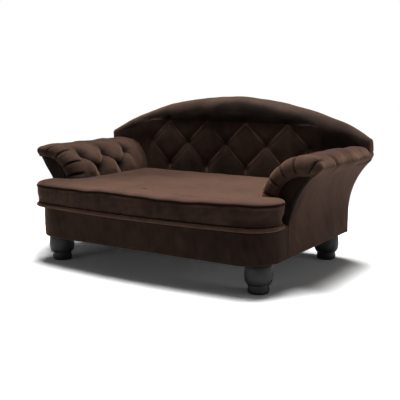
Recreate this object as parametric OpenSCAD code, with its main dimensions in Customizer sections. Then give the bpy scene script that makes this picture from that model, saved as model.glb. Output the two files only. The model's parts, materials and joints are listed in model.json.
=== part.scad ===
// Small tufted sofa bed for a dog: turned feet, a bow-fronted base, flared rolled arms,
// an arched tufted back with a rolled crest, and a loose piped seat cushion.
// Millimetres. X runs along the sofa, -Y is the front, Z is up, the feet stand on z = 0.

/* [Base] */
// Width of the base over its covers
base_w = 678; // [640:1:720]
// Distance from the middle to the front of the base
base_front = 235; // [225:1:250]
// Distance from the middle to the back of the base
base_rear = 240; // [235:1:250]
// Height of the base box, from the feet to the top of the deck
base_h = 77; // [70:1:95]
// Radius of the two front corners
corner_r = 78; // [65:1:90]
// Distance from the middle to the front face of the arms
arm_front = 122; // [110:1:135]

/* [Feet] */
// Height of a foot
foot_h = 70; // [60:1:80]
// Widest diameter of the bulb
foot_bulb_d = 65; // [58:1:70]
// Height of the widest point of the bulb
foot_bulb_z = 41; // [36:1:46]
// Diameter of the ring near the floor
foot_ring_d = 50; // [46:1:54]
// Height of the ring
foot_ring_z = 8.5; // [7:0.5:10]
// Diameter of the neck between ring and bulb
foot_neck_d = 47; // [42:1:49]
// Height of the neck
foot_neck_z = 20; // [17:1:23]
// Diameter of the sole
foot_sole_d = 41.5; // [36:0.5:44]
// Diameter of the collar under the base
foot_collar_d = 56; // [50:1:60]
// Height of the collar
foot_collar_h = 4; // [3:0.5:6]
// Distance from the side of the base to a foot's axis
foot_side_inset = 45; // [40:1:55]
// Distance from the front of the base to the front feet's axes
foot_front_inset = 60; // [55:1:70]
// Distance from the back of the base to the rear feet's axes
foot_rear_inset = 37; // [36:1:45]

/* [Arms] */
// How far the axis of the arm's roll lies outside the base's side
roll_out = 36; // [30:1:42]
// Height of the roll's axis
roll_z = 199; // [190:1:208]
// Radius of the arm pad's face about the roll's axis
pad_r_out = 103; // [98:1:110]
// Thickness of the arm pad
pad_t = 41; // [37:1:46]
// How far the arm pad reaches past the roll's axis
roll_reach = 35; // [32:1:40]
// Radius of the pad's outer top edge
roll_edge_r = 24; // [18:1:28]
// Radius of the outward sweep of the arm's side
flare_r = 188; // [175:1:210]
// Height at which the side starts to sweep out
flare_z = 128; // [120:1:135]
// How far the pad stands in front of the arm's facing
pad_proud = 13; // [9:1:16]
// Spacing of the arm's tufts along the arm
arm_tuft_pitch = 92; // [80:1:96]
// Distance from the middle to the front tuft of the upper row
arm_tuft_front = 76; // [70:1:98]
// Number of tufts in the arm's upper row
arm_tufts = 3; // [2:1:3]
// Distance along the pad's face from the roll's axis height to the lower row
arm_row_low = 30; // [14:1:34]
// Depth of the arm's tufts
arm_tuft_depth = 15; // [8:1:16]
// Spacing angle of the gathers on the pad's front edge
gather_angle = 22.5; // [22.5:22.5:45]
// Depth of the gathers
gather_depth = 4; // [2:0.5:5]

/* [Back] */
// How far the middle of the crest rises above the arms' rolls
crest_rise = 118; // [108:1:128]
// How far the crest's arch still rises above the arms' rolls at its tips
crest_tip_rise = 11; // [8:1:14]
// How far the crest's tips reach past the arms' rolls
crest_tip_out = 2; // [2:0.5:8]
// Distance from the middle to the back of the crest roll
crest_rear = 265; // [260:1:270]
// How much further forward the back of the roll lies at its tips
crest_tip_inset = 42; // [30:1:46]
// Distance from the middle to the front of the crest roll
crest_front = 168; // [164:1:174]
// How much further back the front of the roll lies at its tips
crest_tip_setback = 20; // [14:1:24]
// Height of the crest roll in the middle
crest_roll_h = 40; // [36:1:44]
// Distance from the middle to the valleys of the back's tufts
back_valley = 175; // [172:1:180]
// Depth of the back's tufts
back_tuft_depth = 17; // [8:1:18]
// Spacing of the back's tufts along a row
back_tuft_pitch = 126; // [120:1:128]
// Height of the middle row of tufts
back_tuft_z = 288; // [284:1:292]
// How far the smooth border above the tufts swells forward
border_swell = 9; // [5:1:12]

/* [Seat cushion] */
// Distance from the middle to the front of the cushion
cushion_front = 265; // [258:1:272]
// Distance from the middle to the back of the cushion
cushion_rear = 155; // [145:1:156]
// Height of the cushion from its underside to the upper piping
cushion_h = 53.5; // [48:0.5:56]
// How much the top swells above the piping
cushion_crown = 9; // [4:1:14]
// How far the ears in front of the arms stand out past the base's sides
ear_out = 10; // [4:0.5:14]
// Length of the bow of the front edge
front_bow = 17; // [10:1:22]
// Radius of the cushion's front corners
ear_front_r = 70; // [60:1:76]
// Radius of the ears' back corners
ear_rear_r = 25; // [18:1:28]
// Radius of the cushion's back corners
cushion_rear_r = 25; // [18:1:30]
// Radius in the corner between an ear and the body
neck_r = 12; // [8:1:14]
// How far the sides are drawn in between the pipings
draw_in = 2.5; // [1.5:0.5:4]
// Radius of the lower welt
welt_r = 4; // [3.5:0.5:4.5]
// Radius of the upper piping
piping_r = 2.5; // [2:0.5:3]

/* [Zip] */
// Distance from the cushion's sides to the ends of the zip in its back
zip_inset = 78; // [60:1:110]
// Height of the zip tape
zip_tape_h = 22; // [18:1:24]
// Thickness of the zip tape
zip_tape_t = 1; // [0.8:0.1:1.2]
// Height of the coil
zip_coil_h = 5; // [4:0.5:6]
// How far the coil stands out of the tape
zip_coil_t = 1.6; // [1.2:0.1:2]
// Length of the slider
slider_l = 12; // [9:1:14]
// Height of the slider
slider_h = 9; // [8:0.5:11]
// Thickness of the slider
slider_t = 3.4; // [2.8:0.1:4]

/* [Wood and covers] */
// Thickness of the upholstery cover over the boards
cover_t = 3; // [2:0.5:4]
// Thickness of the lining cloths
cloth_t = 1; // [0.8:0.1:1.5]
// Thickness of the arm boards and the deck
board_t = 12; // [10:1:14]
// Thickness of the bent front apron
apron_t = 9; // [7:1:10]
// Thickness of the curved arm lining
lining_t = 4; // [3:0.5:5]
// Thickness of the arched back panel
back_panel_t = 8; // [6:1:9]
// Thickness of the rails
rail_t = 18; // [15:1:20]
// Height of the cross rails and the arms' lower rails
low_rail_h = 36; // [30:1:40]
// Distance from the middle to the outer face of a cross rail
cross_rail_x = 110; // [90:1:130]
// Depth of the space for the posts behind the back panel
post_depth = 32; // [28:1:34]
// Width of a post
post_w = 34; // [28:1:40]
// Distance from an arm pad's face to an outer post's axis
post_inset = 30; // [24:1:45]
// Height of the arched rail under the crest roll
crest_rail_h = 14; // [12:1:18]
// Distance from the axis of an arm's roll to the end of the arched rail
crest_rail_inset = 45; // [40:1:65]

/* [Fixings] */
// Diameter of the bolt in each foot
bolt_d = 8; // [6:1:8]
// Depth of the bolt in the foot
bolt_in_foot = 30; // [24:1:36]
// How far the bolt stands out of its nut
bolt_out = 3; // [2:0.5:4]
// Diameter of the nut's barrel
nut_barrel_d = 10.5; // [10:0.5:12]
// Length of the nut's barrel
nut_barrel_l = 9; // [7:1:11]
// Diameter of the nut's flange
nut_flange_d = 20; // [18:1:22]
// Thickness of the nut's flange
nut_flange_t = 1.5; // [1:0.1:2]
// Thickness of the wood blocks over the feet
block_h = 20; // [16:1:24]
// Width of the wood blocks over the feet
block_w = 64; // [56:1:66]
// Diameter of the screws through the arm boards
screw_d = 4; // [3:0.5:5]
// Length of those screws
screw_l = 36; // [30:1:40]
// Diameter of their countersunk heads
screw_head_d = 8; // [7:0.5:9]
// Depth of those heads
screw_head_t = 2.5; // [2:0.5:3]

/* [Hidden] */

velvet = "#4b352c";
velvet_light = "#6d5245";
plywood = "#c9a877";
softwood = "#d9bf92";
dark_wood = "#2b2a2b";
black_cloth = "#1d1d1f";
steel = "#a9acb0";

// Clearances
seat_gap = 0.3;
hole_play = 0.1;
cushion_gap = 2;
zip_play = 0.15;
overrun = 1;

// Smoothness of arcs, in segments
corner_steps = 14;
flare_steps = 14;
board_steps = 16;
arch_steps = 36;
round_fn = 96;

// Levels and planes worked out from the sizes above
half_w = base_w / 2;
deck_top = foot_h + base_h;
deck_under = deck_top - board_t;
rail_under = foot_h + cloth_t;
seat_z = deck_top + cloth_t + seat_gap;
block_top = rail_under + block_h;
roll_x = half_w + roll_out;
roll_end = roll_x + roll_reach;
roll_top = roll_z + pad_r_out;
pad_r_in = pad_r_out - pad_t;
lining_top = roll_z + pad_r_in;
lining_x = roll_x - pad_r_in;
board_r = pad_r_in - lining_t;
board_x = roll_x - board_r;
cover_x = half_w - cover_t;
deck_half = lining_x - seat_gap;
facing_back = cover_t - arm_front;
arm_board_back = facing_back + board_t;
inner_back = base_rear - cover_t;
rear_rail_front = inner_back - rail_t;
back_panel_front = inner_back - post_depth - back_panel_t;
foot_x = half_w - foot_side_inset;
foot_front_y = foot_front_inset - base_front;
foot_rear_y = base_rear - foot_rear_inset;
FEET = [[-1, foot_front_y], [1, foot_front_y], [-1, foot_rear_y], [1, foot_rear_y]];
cushion_half = roll_x - pad_r_out - cushion_gap;
crest_half_w = roll_end + crest_tip_out;
crest_z = roll_top + crest_rise;
crest_r = bow_radius(crest_half_w, crest_rise - crest_tip_rise);
seat_arch_z = crest_z - crest_roll_h;
crest_rail_x = roll_x - crest_rail_inset;
post_x = roll_x - pad_r_out - post_inset;
back_tufts = floor(cushion_half / back_tuft_pitch);
zip_l = 2 * (cushion_half - zip_inset);
cushion_top = seat_z + cushion_h;
ear_rear = arm_front + pad_proud + cushion_gap;

// Points of a circular arc, from one angle to another
function arc(cx, cy, r, from, to, steps) =
    [for (i = [0:steps]) let (a = from + (to - from) * i / steps) [cx + r * cos(a), cy + r * sin(a)]];
function reverse(list) = [for (i = [len(list) - 1:-1:0]) list[i]];
function mirror_x(points) = [for (p = reverse(points)) [-p[0], p[1]]];
function clamp(v, low, high) = max(low, min(high, v));
function smooth(v) = let (t = clamp(v, 0, 1)) t * t * (3 - 2 * t);

// Radius of a circle from half a chord and the height of its bow
function bow_radius(half_chord, bow) = (half_chord * half_chord + bow * bow) / (2 * bow);

// Outline of the base's front, inset by d, open towards the back at y = back
function base_front_line(d, back) = concat(
    [[d - half_w, back]],
    arc(corner_r - half_w, corner_r - base_front, corner_r - d, 180, 270, corner_steps),
    arc(half_w - corner_r, corner_r - base_front, corner_r - d, 270, 360, corner_steps),
    [[half_w - d, back]]);

// Outward sweep of the arm's side, inset by d: x at a height, and the line of points
function flare_x(z, d) = half_w + flare_r
    - sqrt(pow(flare_r + d, 2) - pow(max(z - flare_z, 0), 2));
function flare_line(d, low, top) = [for (i = [0:flare_steps])
    let (start = max(low, flare_z), z = start + (top - start) * i / flare_steps) [flare_x(z, d), z]];

// Outline of an arm board seen from the front: inner side, round top, swept side
function board_outline(r, d, low) = let (top = roll_z + r) concat(
    [[roll_x - r, low]],
    arc(roll_x, roll_z, r, 180, 90, board_steps),
    reverse(flare_line(d, low, top)),
    low < flare_z ? [[half_w - d, low]] : []);

// Underside of the crest roll: an arch that comes down onto the arms' rolls
seat_arch_drop = seat_arch_z - roll_top - seat_gap;
seat_arch_r = bow_radius(roll_x, seat_arch_drop);
function seat_arch(x) = seat_arch_z - seat_arch_r + sqrt(pow(seat_arch_r, 2) - pow(x, 2));
function crest_front_y(x) = crest_front + crest_tip_setback * pow(x / crest_half_w, 2);
function crest_top(x) = crest_z - crest_r + sqrt(pow(crest_r, 2) - pow(x, 2));
function arch_line(x, drop) = [for (i = [-arch_steps:arch_steps])
    let (px = x * i / arch_steps) [px, seat_arch(px) - drop]];

// Fullness of a diamond-tufted face, 0 in a tuft and 1 in the middle of a pillow.
// a and b count the two families of folds, which cross at whole numbers.
crease_share = 0.45;
function fullness(a, b) = let (fa = abs(sin(180 * a)), fb = abs(sin(180 * b)))
    crease_share * sqrt(min(fa, fb)) + (1 - crease_share) * sqrt((fa * fa + fb * fb) / 2);

// Closed skin over rings of points, with a fan of triangles at each end
module ring_skin(rings, first, last) {
    n = len(rings[0]);
    m = len(rings);
    points = concat([for (ring = rings) each ring], [first, last]);
    sides = [for (j = [0:m - 2], i = [0:n - 1]) let (
        a = j * n + i, b = j * n + (i + 1) % n, c = a + n, d = b + n)
        each [[a, b, c], [b, d, c]]];
    low = [for (i = [0:n - 1]) [m * n, (i + 1) % n, i]];
    top = [for (i = [0:n - 1]) [m * n + 1, (m - 1) * n + i, (m - 1) * n + (i + 1) % n]];
    polyhedron(points = points, faces = concat(sides, low, top), convexity = 6);
}

// Closed skin over a ring of rings, as for a welt that runs round a cushion
module loop_skin(rings) {
    n = len(rings[0]);
    m = len(rings);
    points = [for (ring = rings) each ring];
    faces = [for (j = [0:m - 1], i = [0:n - 1]) let (
        k = (j + 1) % m,
        a = j * n + i, b = j * n + (i + 1) % n, c = k * n + i, d = k * n + (i + 1) % n)
        each [[a, c, b], [b, c, d]]];
    polyhedron(points = points, faces = faces, convexity = 6);
}

// Closed skin over strips that run round a bent slab, open only at the slab's two edges,
// each of which is closed by a fan
module slab_skin(strips) {
    n = len(strips[0]);
    m = len(strips);
    points = [for (strip = strips) each strip];
    faces = [for (j = [0:m - 1], i = [0:n - 2]) let (
        k = (j + 1) % m, a = j * n + i, b = a + 1, c = k * n + i, d = c + 1)
        each [[a, c, d], [a, d, b]]];
    low = [for (j = [1:m - 2]) [0, j + 1, j] * n];
    top = [for (j = [1:m - 2]) [0, j, j + 1] * n + [n - 1, n - 1, n - 1]];
    polyhedron(points = points, faces = concat(faces, low, top), convexity = 6);
}

// Closed skin over a grid of rows: the face is the grid and the rest is a flat back
module panel_skin(grid, back_y, centre) {
    n = len(grid[0]);
    m = len(grid);
    face = [for (row = grid) each row];
    edge = concat(
        [for (i = [0:n - 1]) i],
        [for (j = [1:m - 1]) j * n + n - 1],
        [for (i = [n - 2:-1:0]) (m - 1) * n + i],
        [for (j = [m - 2:-1:1]) j * n]);
    e = len(edge);
    rim = [for (k = edge) [face[k][0], back_y, face[k][2]]];
    points = concat(face, rim, [centre]);
    front = [for (j = [0:m - 2], i = [0:n - 2]) let (a = j * n + i)
        each [[a, a + n, a + 1], [a + 1, a + n, a + n + 1]]];
    wall = [for (k = [0:e - 1]) let (k2 = (k + 1) % e, r = m * n + k, r2 = m * n + k2)
        each [[edge[k], edge[k2], r], [edge[k2], r2, r]]];
    back = [for (k = [0:e - 1]) [m * n + k, m * n + (k + 1) % e, m * n + e]];
    polyhedron(points = points, faces = concat(front, wall, back), convexity = 6);
}

// Feet

foot_steps = 8;
function foot_profile() = let (
    sole = foot_sole_d / 2, ring = foot_ring_d / 2, neck = foot_neck_d / 2,
    bulb = foot_bulb_d / 2, collar = foot_collar_d / 2, collar_z = foot_h - foot_collar_h)
    concat(
        [[0, 0]],
        [for (i = [0:foot_steps]) let (t = 1 - i / foot_steps)
            [sole + (ring - sole) * sqrt(1 - t * t), foot_ring_z * (1 - t)]],
        [for (i = [1:foot_steps]) let (t = i / foot_steps)
            [neck + (ring - neck) * (1 + cos(180 * t)) / 2,
             foot_ring_z + (foot_neck_z - foot_ring_z) * t]],
        [for (i = [1:foot_steps]) let (t = 90 * i / foot_steps)
            [neck + (bulb - neck) * sin(t), foot_bulb_z - (foot_bulb_z - foot_neck_z) * cos(t)]],
        [for (i = [1:foot_steps]) let (t = 90 * i / foot_steps)
            [collar + (bulb - collar) * cos(t), foot_bulb_z + (collar_z - foot_bulb_z) * sin(t)]],
        [[collar, foot_h], [0, foot_h]]);

module foot(k) {
    color(dark_wood)
    translate([FEET[k][0] * foot_x, FEET[k][1], 0])
    difference() {
        rotate_extrude($fn = round_fn) polygon(foot_profile());
        translate([0, 0, foot_h - bolt_in_foot])
            cylinder(d = bolt_d + 2 * hole_play, h = bolt_in_foot + overrun, $fn = round_fn);
    }
}

module foot_bolts() {
    low = foot_h - bolt_in_foot;
    color(steel)
    for (f = FEET)
        translate([f[0] * foot_x, f[1], low])
            cylinder(d = bolt_d, h = block_top + nut_flange_t + bolt_out - low, $fn = round_fn);
}

module foot_nuts() {
    color(steel)
    for (f = FEET)
        translate([f[0] * foot_x, f[1], block_top])
        difference() {
            union() {
                cylinder(d = nut_flange_d, h = nut_flange_t, $fn = round_fn);
                translate([0, 0, -nut_barrel_l])
                    cylinder(d = nut_barrel_d, h = nut_barrel_l, $fn = round_fn);
            }
            translate([0, 0, -nut_barrel_l - overrun])
                cylinder(d = bolt_d + 2 * hole_play,
                    h = nut_barrel_l + nut_flange_t + 2 * overrun, $fn = round_fn);
        }
}

module foot_block(f) {
    inner = base_front_line(cover_t + apron_t + seat_gap, rear_rail_front - seat_gap);
    difference() {
        intersection() {
            translate([0, 0, rail_under]) linear_extrude(block_h) polygon(inner);
            translate([f[0] * (deck_half - block_w / 2), f[1], rail_under + block_h / 2])
                cube([block_w, block_w, block_h + overrun], center = true);
        }
        translate([f[0] * foot_x, f[1], rail_under - overrun]) {
            cylinder(d = bolt_d + 2 * hole_play, h = block_h + 2 * overrun, $fn = round_fn);
            translate([0, 0, block_h - nut_barrel_l])
                cylinder(d = nut_barrel_d + 2 * hole_play,
                    h = nut_barrel_l + 2 * overrun, $fn = round_fn);
        }
    }
}

module foot_blocks() {
    color(softwood)
    for (f = FEET) foot_block(f);
}

// Base

module front_apron() {
    back = facing_back;
    color(plywood)
    translate([0, 0, rail_under])
        linear_extrude(deck_under - rail_under)
        polygon(concat(
            base_front_line(cover_t, back),
            reverse(base_front_line(cover_t + apron_t, back))));
}

module rear_rail() {
    color(softwood)
    translate([-deck_half, rear_rail_front, rail_under])
        cube([2 * deck_half, rail_t, deck_under - rail_under]);
}

module side_rail(side) {
    front = arm_board_back;
    back = foot_rear_y - block_w / 2 - seat_gap;
    color(softwood)
    translate([side * (deck_half - rail_t / 2) - rail_t / 2, front, rail_under])
        cube([rail_t, back - front, deck_under - rail_under]);
}

module cross_rails() {
    front = cover_t + apron_t - base_front;
    color(softwood)
    for (side = [-1, 1])
        translate([side * (cross_rail_x - rail_t / 2) - rail_t / 2, front, deck_under - low_rail_h])
            cube([rail_t, rear_rail_front - front, low_rail_h]);
}

// Plan of the deck: the full front inside the covers, narrower between the arms
function deck_outline(back) = concat(
    [[-deck_half, back], [-deck_half, facing_back]],
    base_front_line(cover_t, facing_back),
    [[deck_half, facing_back], [deck_half, back]]);

module seat_deck() {
    color(plywood)
    translate([0, 0, deck_under])
        linear_extrude(board_t) polygon(deck_outline(inner_back));
}

module deck_cloth() {
    color(black_cloth)
    translate([0, 0, deck_top])
        linear_extrude(cloth_t) polygon(deck_outline(back_panel_front));
}

module dust_cover() {
    color(black_cloth)
    difference() {
        translate([0, 0, foot_h])
            linear_extrude(cloth_t) polygon(base_front_line(cover_t, inner_back));
        for (f = FEET)
            translate([f[0] * foot_x, f[1], foot_h - overrun])
                cylinder(d = bolt_d + 2 * hole_play, h = cloth_t + 2 * overrun, $fn = round_fn);
    }
}

module front_band_cover() {
    color(velvet)
    translate([0, 0, foot_h])
        linear_extrude(base_h)
        polygon(concat(
            base_front_line(0, -arm_front),
            reverse(base_front_line(cover_t, -arm_front))));
}

// Arms, drawn on the right and mirrored to the left

module sided(side) {
    mirror([side < 0 ? 1 : 0, 0, 0]) children();
}

module slice(front, depth) {
    translate([0, front + depth, 0])
        rotate([90, 0, 0])
        linear_extrude(depth) children();
}

// The batten lies as high as it fits between the round lining and the swept side
batten_z = roll_z + board_r * sqrt(0.5) - rail_t / 2;
batten_x = flare_x(batten_z, cover_t) - rail_t;
// Where the screws go through the boards at both ends of an arm
SCREWS = [
    [cover_x - rail_t / 2, rail_under + low_rail_h / 2],
    [batten_x + rail_t / 2, batten_z + rail_t / 2]];

// A countersunk screw that points away from the face it is driven into, or its hole
module screw(play) {
    head_r = screw_head_d / 2 + play;
    shank_r = screw_d / 2 + play;
    rotate_extrude($fn = round_fn)
        polygon([[0, 0], [head_r, 0], [shank_r, screw_head_t], [shank_r, screw_l], [0, screw_l]]);
}

// The screws of one arm, from the front and from the back
module arm_screw_set(play) {
    for (place = SCREWS) {
        translate([place[0], facing_back, place[1]]) rotate([-90, 0, 0]) screw(play);
        translate([place[0], inner_back, place[1]]) rotate([90, 0, 0]) screw(play);
    }
}

module arm_board(front) {
    difference() {
        slice(front, board_t) polygon(board_outline(board_r, cover_t + seat_gap, rail_under));
        arm_screw_set(hole_play);
    }
}

module arm_front_board(side) {
    color(plywood) sided(side) arm_board(facing_back);
}

module arm_rear_board(side) {
    color(plywood) sided(side) arm_board(inner_back - board_t);
}

// A rail between the two boards of an arm, with its lower inner corner at [x, z]
module arm_rail(x, z, height) {
    difference() {
        translate([x, arm_board_back, z])
            cube([rail_t, inner_back - board_t - arm_board_back, height]);
        arm_screw_set(hole_play);
    }
}

module arm_lower_rail(side) {
    color(softwood) sided(side) arm_rail(cover_x - rail_t, rail_under, low_rail_h);
}

module arm_top_batten(side) {
    color(softwood) sided(side) arm_rail(batten_x, batten_z, rail_t);
}

module arm_screws() {
    color(steel)
    for (side = [-1, 1]) sided(side) arm_screw_set(0);
}

module arm_lining(side) {
    tip_low = flare_x(roll_z + board_r, cover_t);
    tip_top = flare_x(lining_top, cover_t);
    color(plywood)
    sided(side)
    slice(facing_back, inner_back - facing_back)
        polygon(concat(
            [[lining_x, rail_under]],
            arc(roll_x, roll_z, pad_r_in, 180, 90, board_steps),
            [[tip_top, lining_top], [tip_low, roll_z + board_r]],
            arc(roll_x, roll_z, board_r, 90, 180, board_steps),
            [[board_x, rail_under]]));
}

module arm_facing(side) {
    color(velvet)
    sided(side)
    slice(-arm_front, cover_t) polygon(board_outline(pad_r_in, 0, deck_top + cloth_t));
}

module arm_outer_cover(side) {
    front = facing_back;
    color(velvet)
    sided(side)
    slice(front, inner_back - front)
        polygon(concat(
            [[half_w, foot_h]],
            flare_line(0, foot_h, lining_top),
            reverse(flare_line(cover_t, foot_h, lining_top)),
            [[cover_x, foot_h]]));
}

// Face of the arm pad as a line of [x, z, normal x, normal z, length above the axis height]
roll_tuck = roll_edge_r / 3;
pad_rise_steps = 3;
pad_round_steps = 12;
pad_edge_steps = 3;
function pad_line(r) = concat(
    [for (i = [0:pad_rise_steps - 1]) let (z = seat_z + (roll_z - seat_z) * i / pad_rise_steps)
        [roll_x - r, z, -1, 0, z - roll_z]],
    [for (i = [0:pad_round_steps]) let (a = 180 - 90 * i / pad_round_steps)
        [roll_x + r * cos(a), roll_z + r * sin(a), cos(a), sin(a), r * PI * (180 - a) / 180]],
    [for (i = [0:pad_edge_steps]) let (a = 90 - 90 * i / pad_edge_steps)
        [roll_end - roll_edge_r + roll_edge_r * cos(a), roll_z + r - roll_edge_r + roll_edge_r * sin(a),
         cos(a), sin(a), r * PI / 2 + roll_reach]],
    [[roll_end - roll_tuck, lining_top + seat_gap, 1, 0, r * PI / 2 + roll_reach]]);
// The same number of points on the wood under the pad
function wood_line() = let (
    r = pad_r_in + seat_gap,
    tip = flare_x(lining_top, 0),
    flat_steps = pad_edge_steps + 2) concat(
    [for (i = [0:pad_rise_steps - 1])
        [roll_x - r, seat_z + (roll_z - seat_z) * i / pad_rise_steps]],
    [for (i = [0:pad_round_steps]) let (a = 180 - 90 * i / pad_round_steps)
        [roll_x + r * cos(a), roll_z + r * sin(a)]],
    [for (i = [1:flat_steps]) [roll_x + (tip - roll_x) * i / flat_steps, lining_top + seat_gap]]);

// How much of the arm's folds is lost above the upper row and below the lower one
top_fade_share = 0.9;
low_fade_share = 0.6;

// Depth of the arm's folds at a place along the arm (y) and up its face (u)
function arm_fold(y, u) = let (
    rows = clamp((u - arm_row_low) / arm_tuft_pitch, 0, 0.5),
    cols = clamp((y + arm_tuft_front) / arm_tuft_pitch - 0.5, -0.5, arm_tufts - 1.5),
    past_rear = smooth((y + arm_tuft_front) / arm_tuft_pitch - arm_tufts + 1),
    past_top = smooth((u - arm_row_low) / arm_tuft_pitch - 0.5),
    past_low = smooth((arm_row_low - u) / arm_tuft_pitch),
    fade = (1 - past_rear) * (1 - top_fade_share * past_top) * (1 - low_fade_share * past_low))
    arm_tuft_depth * fade * (1 - fullness(cols + rows, cols - rows));

// How far the first gather lies from the roll's axis height, as a share of their spacing
gather_shift_share = 1 / 3;

// Depth of the gathers where the pad's cover turns in at the front
function gather(y, u) = let (
    angle = 180 * u / (PI * pad_r_out) - gather_angle * gather_shift_share,
    near = 1 - smooth((y + arm_front) / (2 * pad_proud)),
    on_round = u < 0 ? 0 : 1)
    gather_depth * near * on_round * (1 - sqrt(abs(sin(180 * angle / gather_angle))));

pad_turn_steps = 6;
pad_length_steps = 30;
module arm_pad(side) {
    outer = pad_line(pad_r_out);
    inner = wood_line();
    turn = (pad_r_out - pad_r_in) / 2;
    front = -arm_front - pad_proud;
    back = inner_back - seat_gap;
    function place(k, y, share) = let (
        o = outer[k],
        sink = arm_fold(y, o[4]) + gather(y, o[4]),
        x = o[0] - o[2] * sink,
        z = o[1] - o[3] * sink)
        [inner[k][0] + (x - inner[k][0]) * share, y, inner[k][1] + (z - inner[k][1]) * share];
    strips = concat(
        [for (i = [0:pad_turn_steps - 1]) let (a = 180 * i / pad_turn_steps)
            [for (k = [0:len(outer) - 1])
                place(k, front + turn * (1 - sin(a)), (1 - cos(a)) / 2)]],
        [for (i = [0:pad_length_steps]) let (y = front + turn + (back - front - turn) * i / pad_length_steps)
            [for (k = [0:len(outer) - 1]) place(k, y, 1)]],
        [[for (k = [0:len(outer) - 1]) place(k, back, 0)]]);
    color(velvet_light)
    sided(side) slab_skin(strips);
}

// Back

// Outline of the back between the arm pads: straight sides, then round the arms' rolls
nest_steps = 14;
function nest_line() = let (last = asin((crest_rail_x - roll_x) / (pad_r_out + seat_gap)))
    concat(
        [[cushion_half + cushion_gap - seat_gap, deck_top]],
        arc(roll_x, roll_z, pad_r_out + seat_gap, 180, 90 - last, nest_steps));

module back_panel() {
    color(plywood)
    slice(back_panel_front, back_panel_t)
        polygon(concat(
            nest_line(),
            reverse(arch_line(crest_rail_x, seat_gap)),
            mirror_x(nest_line())));
}

module back_posts() {
    color(softwood)
    for (x = [-post_x, 0, post_x])
        let (
            left = x - post_w / 2,
            right = x + post_w / 2,
            drop = 2 * seat_gap + crest_rail_h)
        slice(inner_back - post_depth, post_depth)
            polygon([[left, deck_top], [right, deck_top],
                [right, seat_arch(right) - drop], [x, seat_arch(x) - drop], [left, seat_arch(left) - drop]]);
}

module crest_rail() {
    color(softwood)
    slice(inner_back - post_depth, post_depth)
        polygon(concat(
            reverse(arch_line(crest_rail_x, seat_gap)),
            arch_line(crest_rail_x, seat_gap + crest_rail_h)));
}

// Half width of the back pad at a height: it nests between the arm pads
function pad_gap_x(z) = roll_x - seat_gap
    - sqrt(pow(pad_r_out + seat_gap, 2) - pow(clamp(z - roll_z, 0, pad_r_out), 2));

// The back has pillows between its rows of tufts, is plainer below and at its wings, and
// has a smooth border above
back_row = back_tuft_pitch / 2;
wing_border = 12;
wing_share = 0.35;
// Depth and half width of the straight fold along the top row, as shares
row_fold_share = 0.7;
row_width_share = 1 / 6;

// Face of the back at a place
function back_face(x, z) = let (
    cols = clamp(x / back_tuft_pitch, -back_tufts, back_tufts),
    rows = clamp((z - back_tuft_z) / back_tuft_pitch, -0.5, 0.5),
    border_z = min(back_tuft_z + back_row, seat_arch(x) - wing_border),
    above = (z - border_z) / (seat_arch(x) - border_z),
    below = smooth((back_tuft_z - back_row - z) / (back_tuft_z - back_row - seat_z)),
    beyond = smooth((abs(x) - back_tufts * back_tuft_pitch) / back_row),
    row_fold = exp(-pow((z - border_z) / (back_row * row_width_share), 2)),
    pillow = fullness(cols + rows, cols - rows),
    full = pillow * (1 - below / 2) + below / 2,
    swell = (full + (wing_share - full) * beyond) * (1 - row_fold_share * row_fold),
    border = (crest_front_y(x) - back_valley) * above * above
        - border_swell * sin(180 * clamp(above, 0, 1)) * (1 - beyond)
        - back_tuft_depth * swell * (1 - smooth(4 * above)))
    back_valley + (above > 0 ? border : -back_tuft_depth * swell);

back_cols = 22;
back_side_cols = 3;
back_rows = 17;
back_core_share = 0.92;
arch_power = 3;
function pad_height(x, t) = let (
    rise = seat_arch(x) - seat_gap - seat_z,
    k = (seat_arch_z - seat_gap - seat_z) / rise)
    seat_z + rise * t * k / (1 + (k - 1) * pow(t, arch_power));
function pad_edge_x(t, x, tries) = tries == 0 ? x : pad_edge_x(t, pad_gap_x(pad_height(x, t)), tries - 1);

module back_pad() {
    mid = back_tuft_pitch * back_tufts;
    grid = [for (j = [0:back_rows]) let (
        t = j / back_rows,
        edge = pad_edge_x(t, cushion_half, 12),
        core = min(mid, edge * back_core_share),
        xs = concat(
            [for (i = [back_side_cols:-1:1]) -core - (edge - core) * i / back_side_cols],
            [for (i = [-back_cols:back_cols]) core * i / back_cols],
            [for (i = [1:back_side_cols]) core + (edge - core) * i / back_side_cols]))
        [for (x = xs) let (z = pad_height(x, t)) [x, back_face(x, z), z]]];
    color(velvet)
    panel_skin(grid, back_panel_front - seat_gap, [0, back_panel_front - seat_gap, back_tuft_z]);
}

// The roll on the crest: a half round section that is carried along the arch and ends
// over the outer edges of the arms' rolls. Each station is [x, height of the underside].
crest_stations = 13;
crest_steps = 12;
tip_angles = [0, 25, 50];
tip_drop_share = 0.8;
// How much of the section's depth and height is left at a tip, and how full its back is
tip_end_share = 0.9;
tip_depth_share = 0.6;
tip_height_share = 0.5;
roll_power = 0.75;
tip_power = 4;
tip_radius = (roll_edge_r + seat_gap) / cos(tip_angles[1] / 2);

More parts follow.
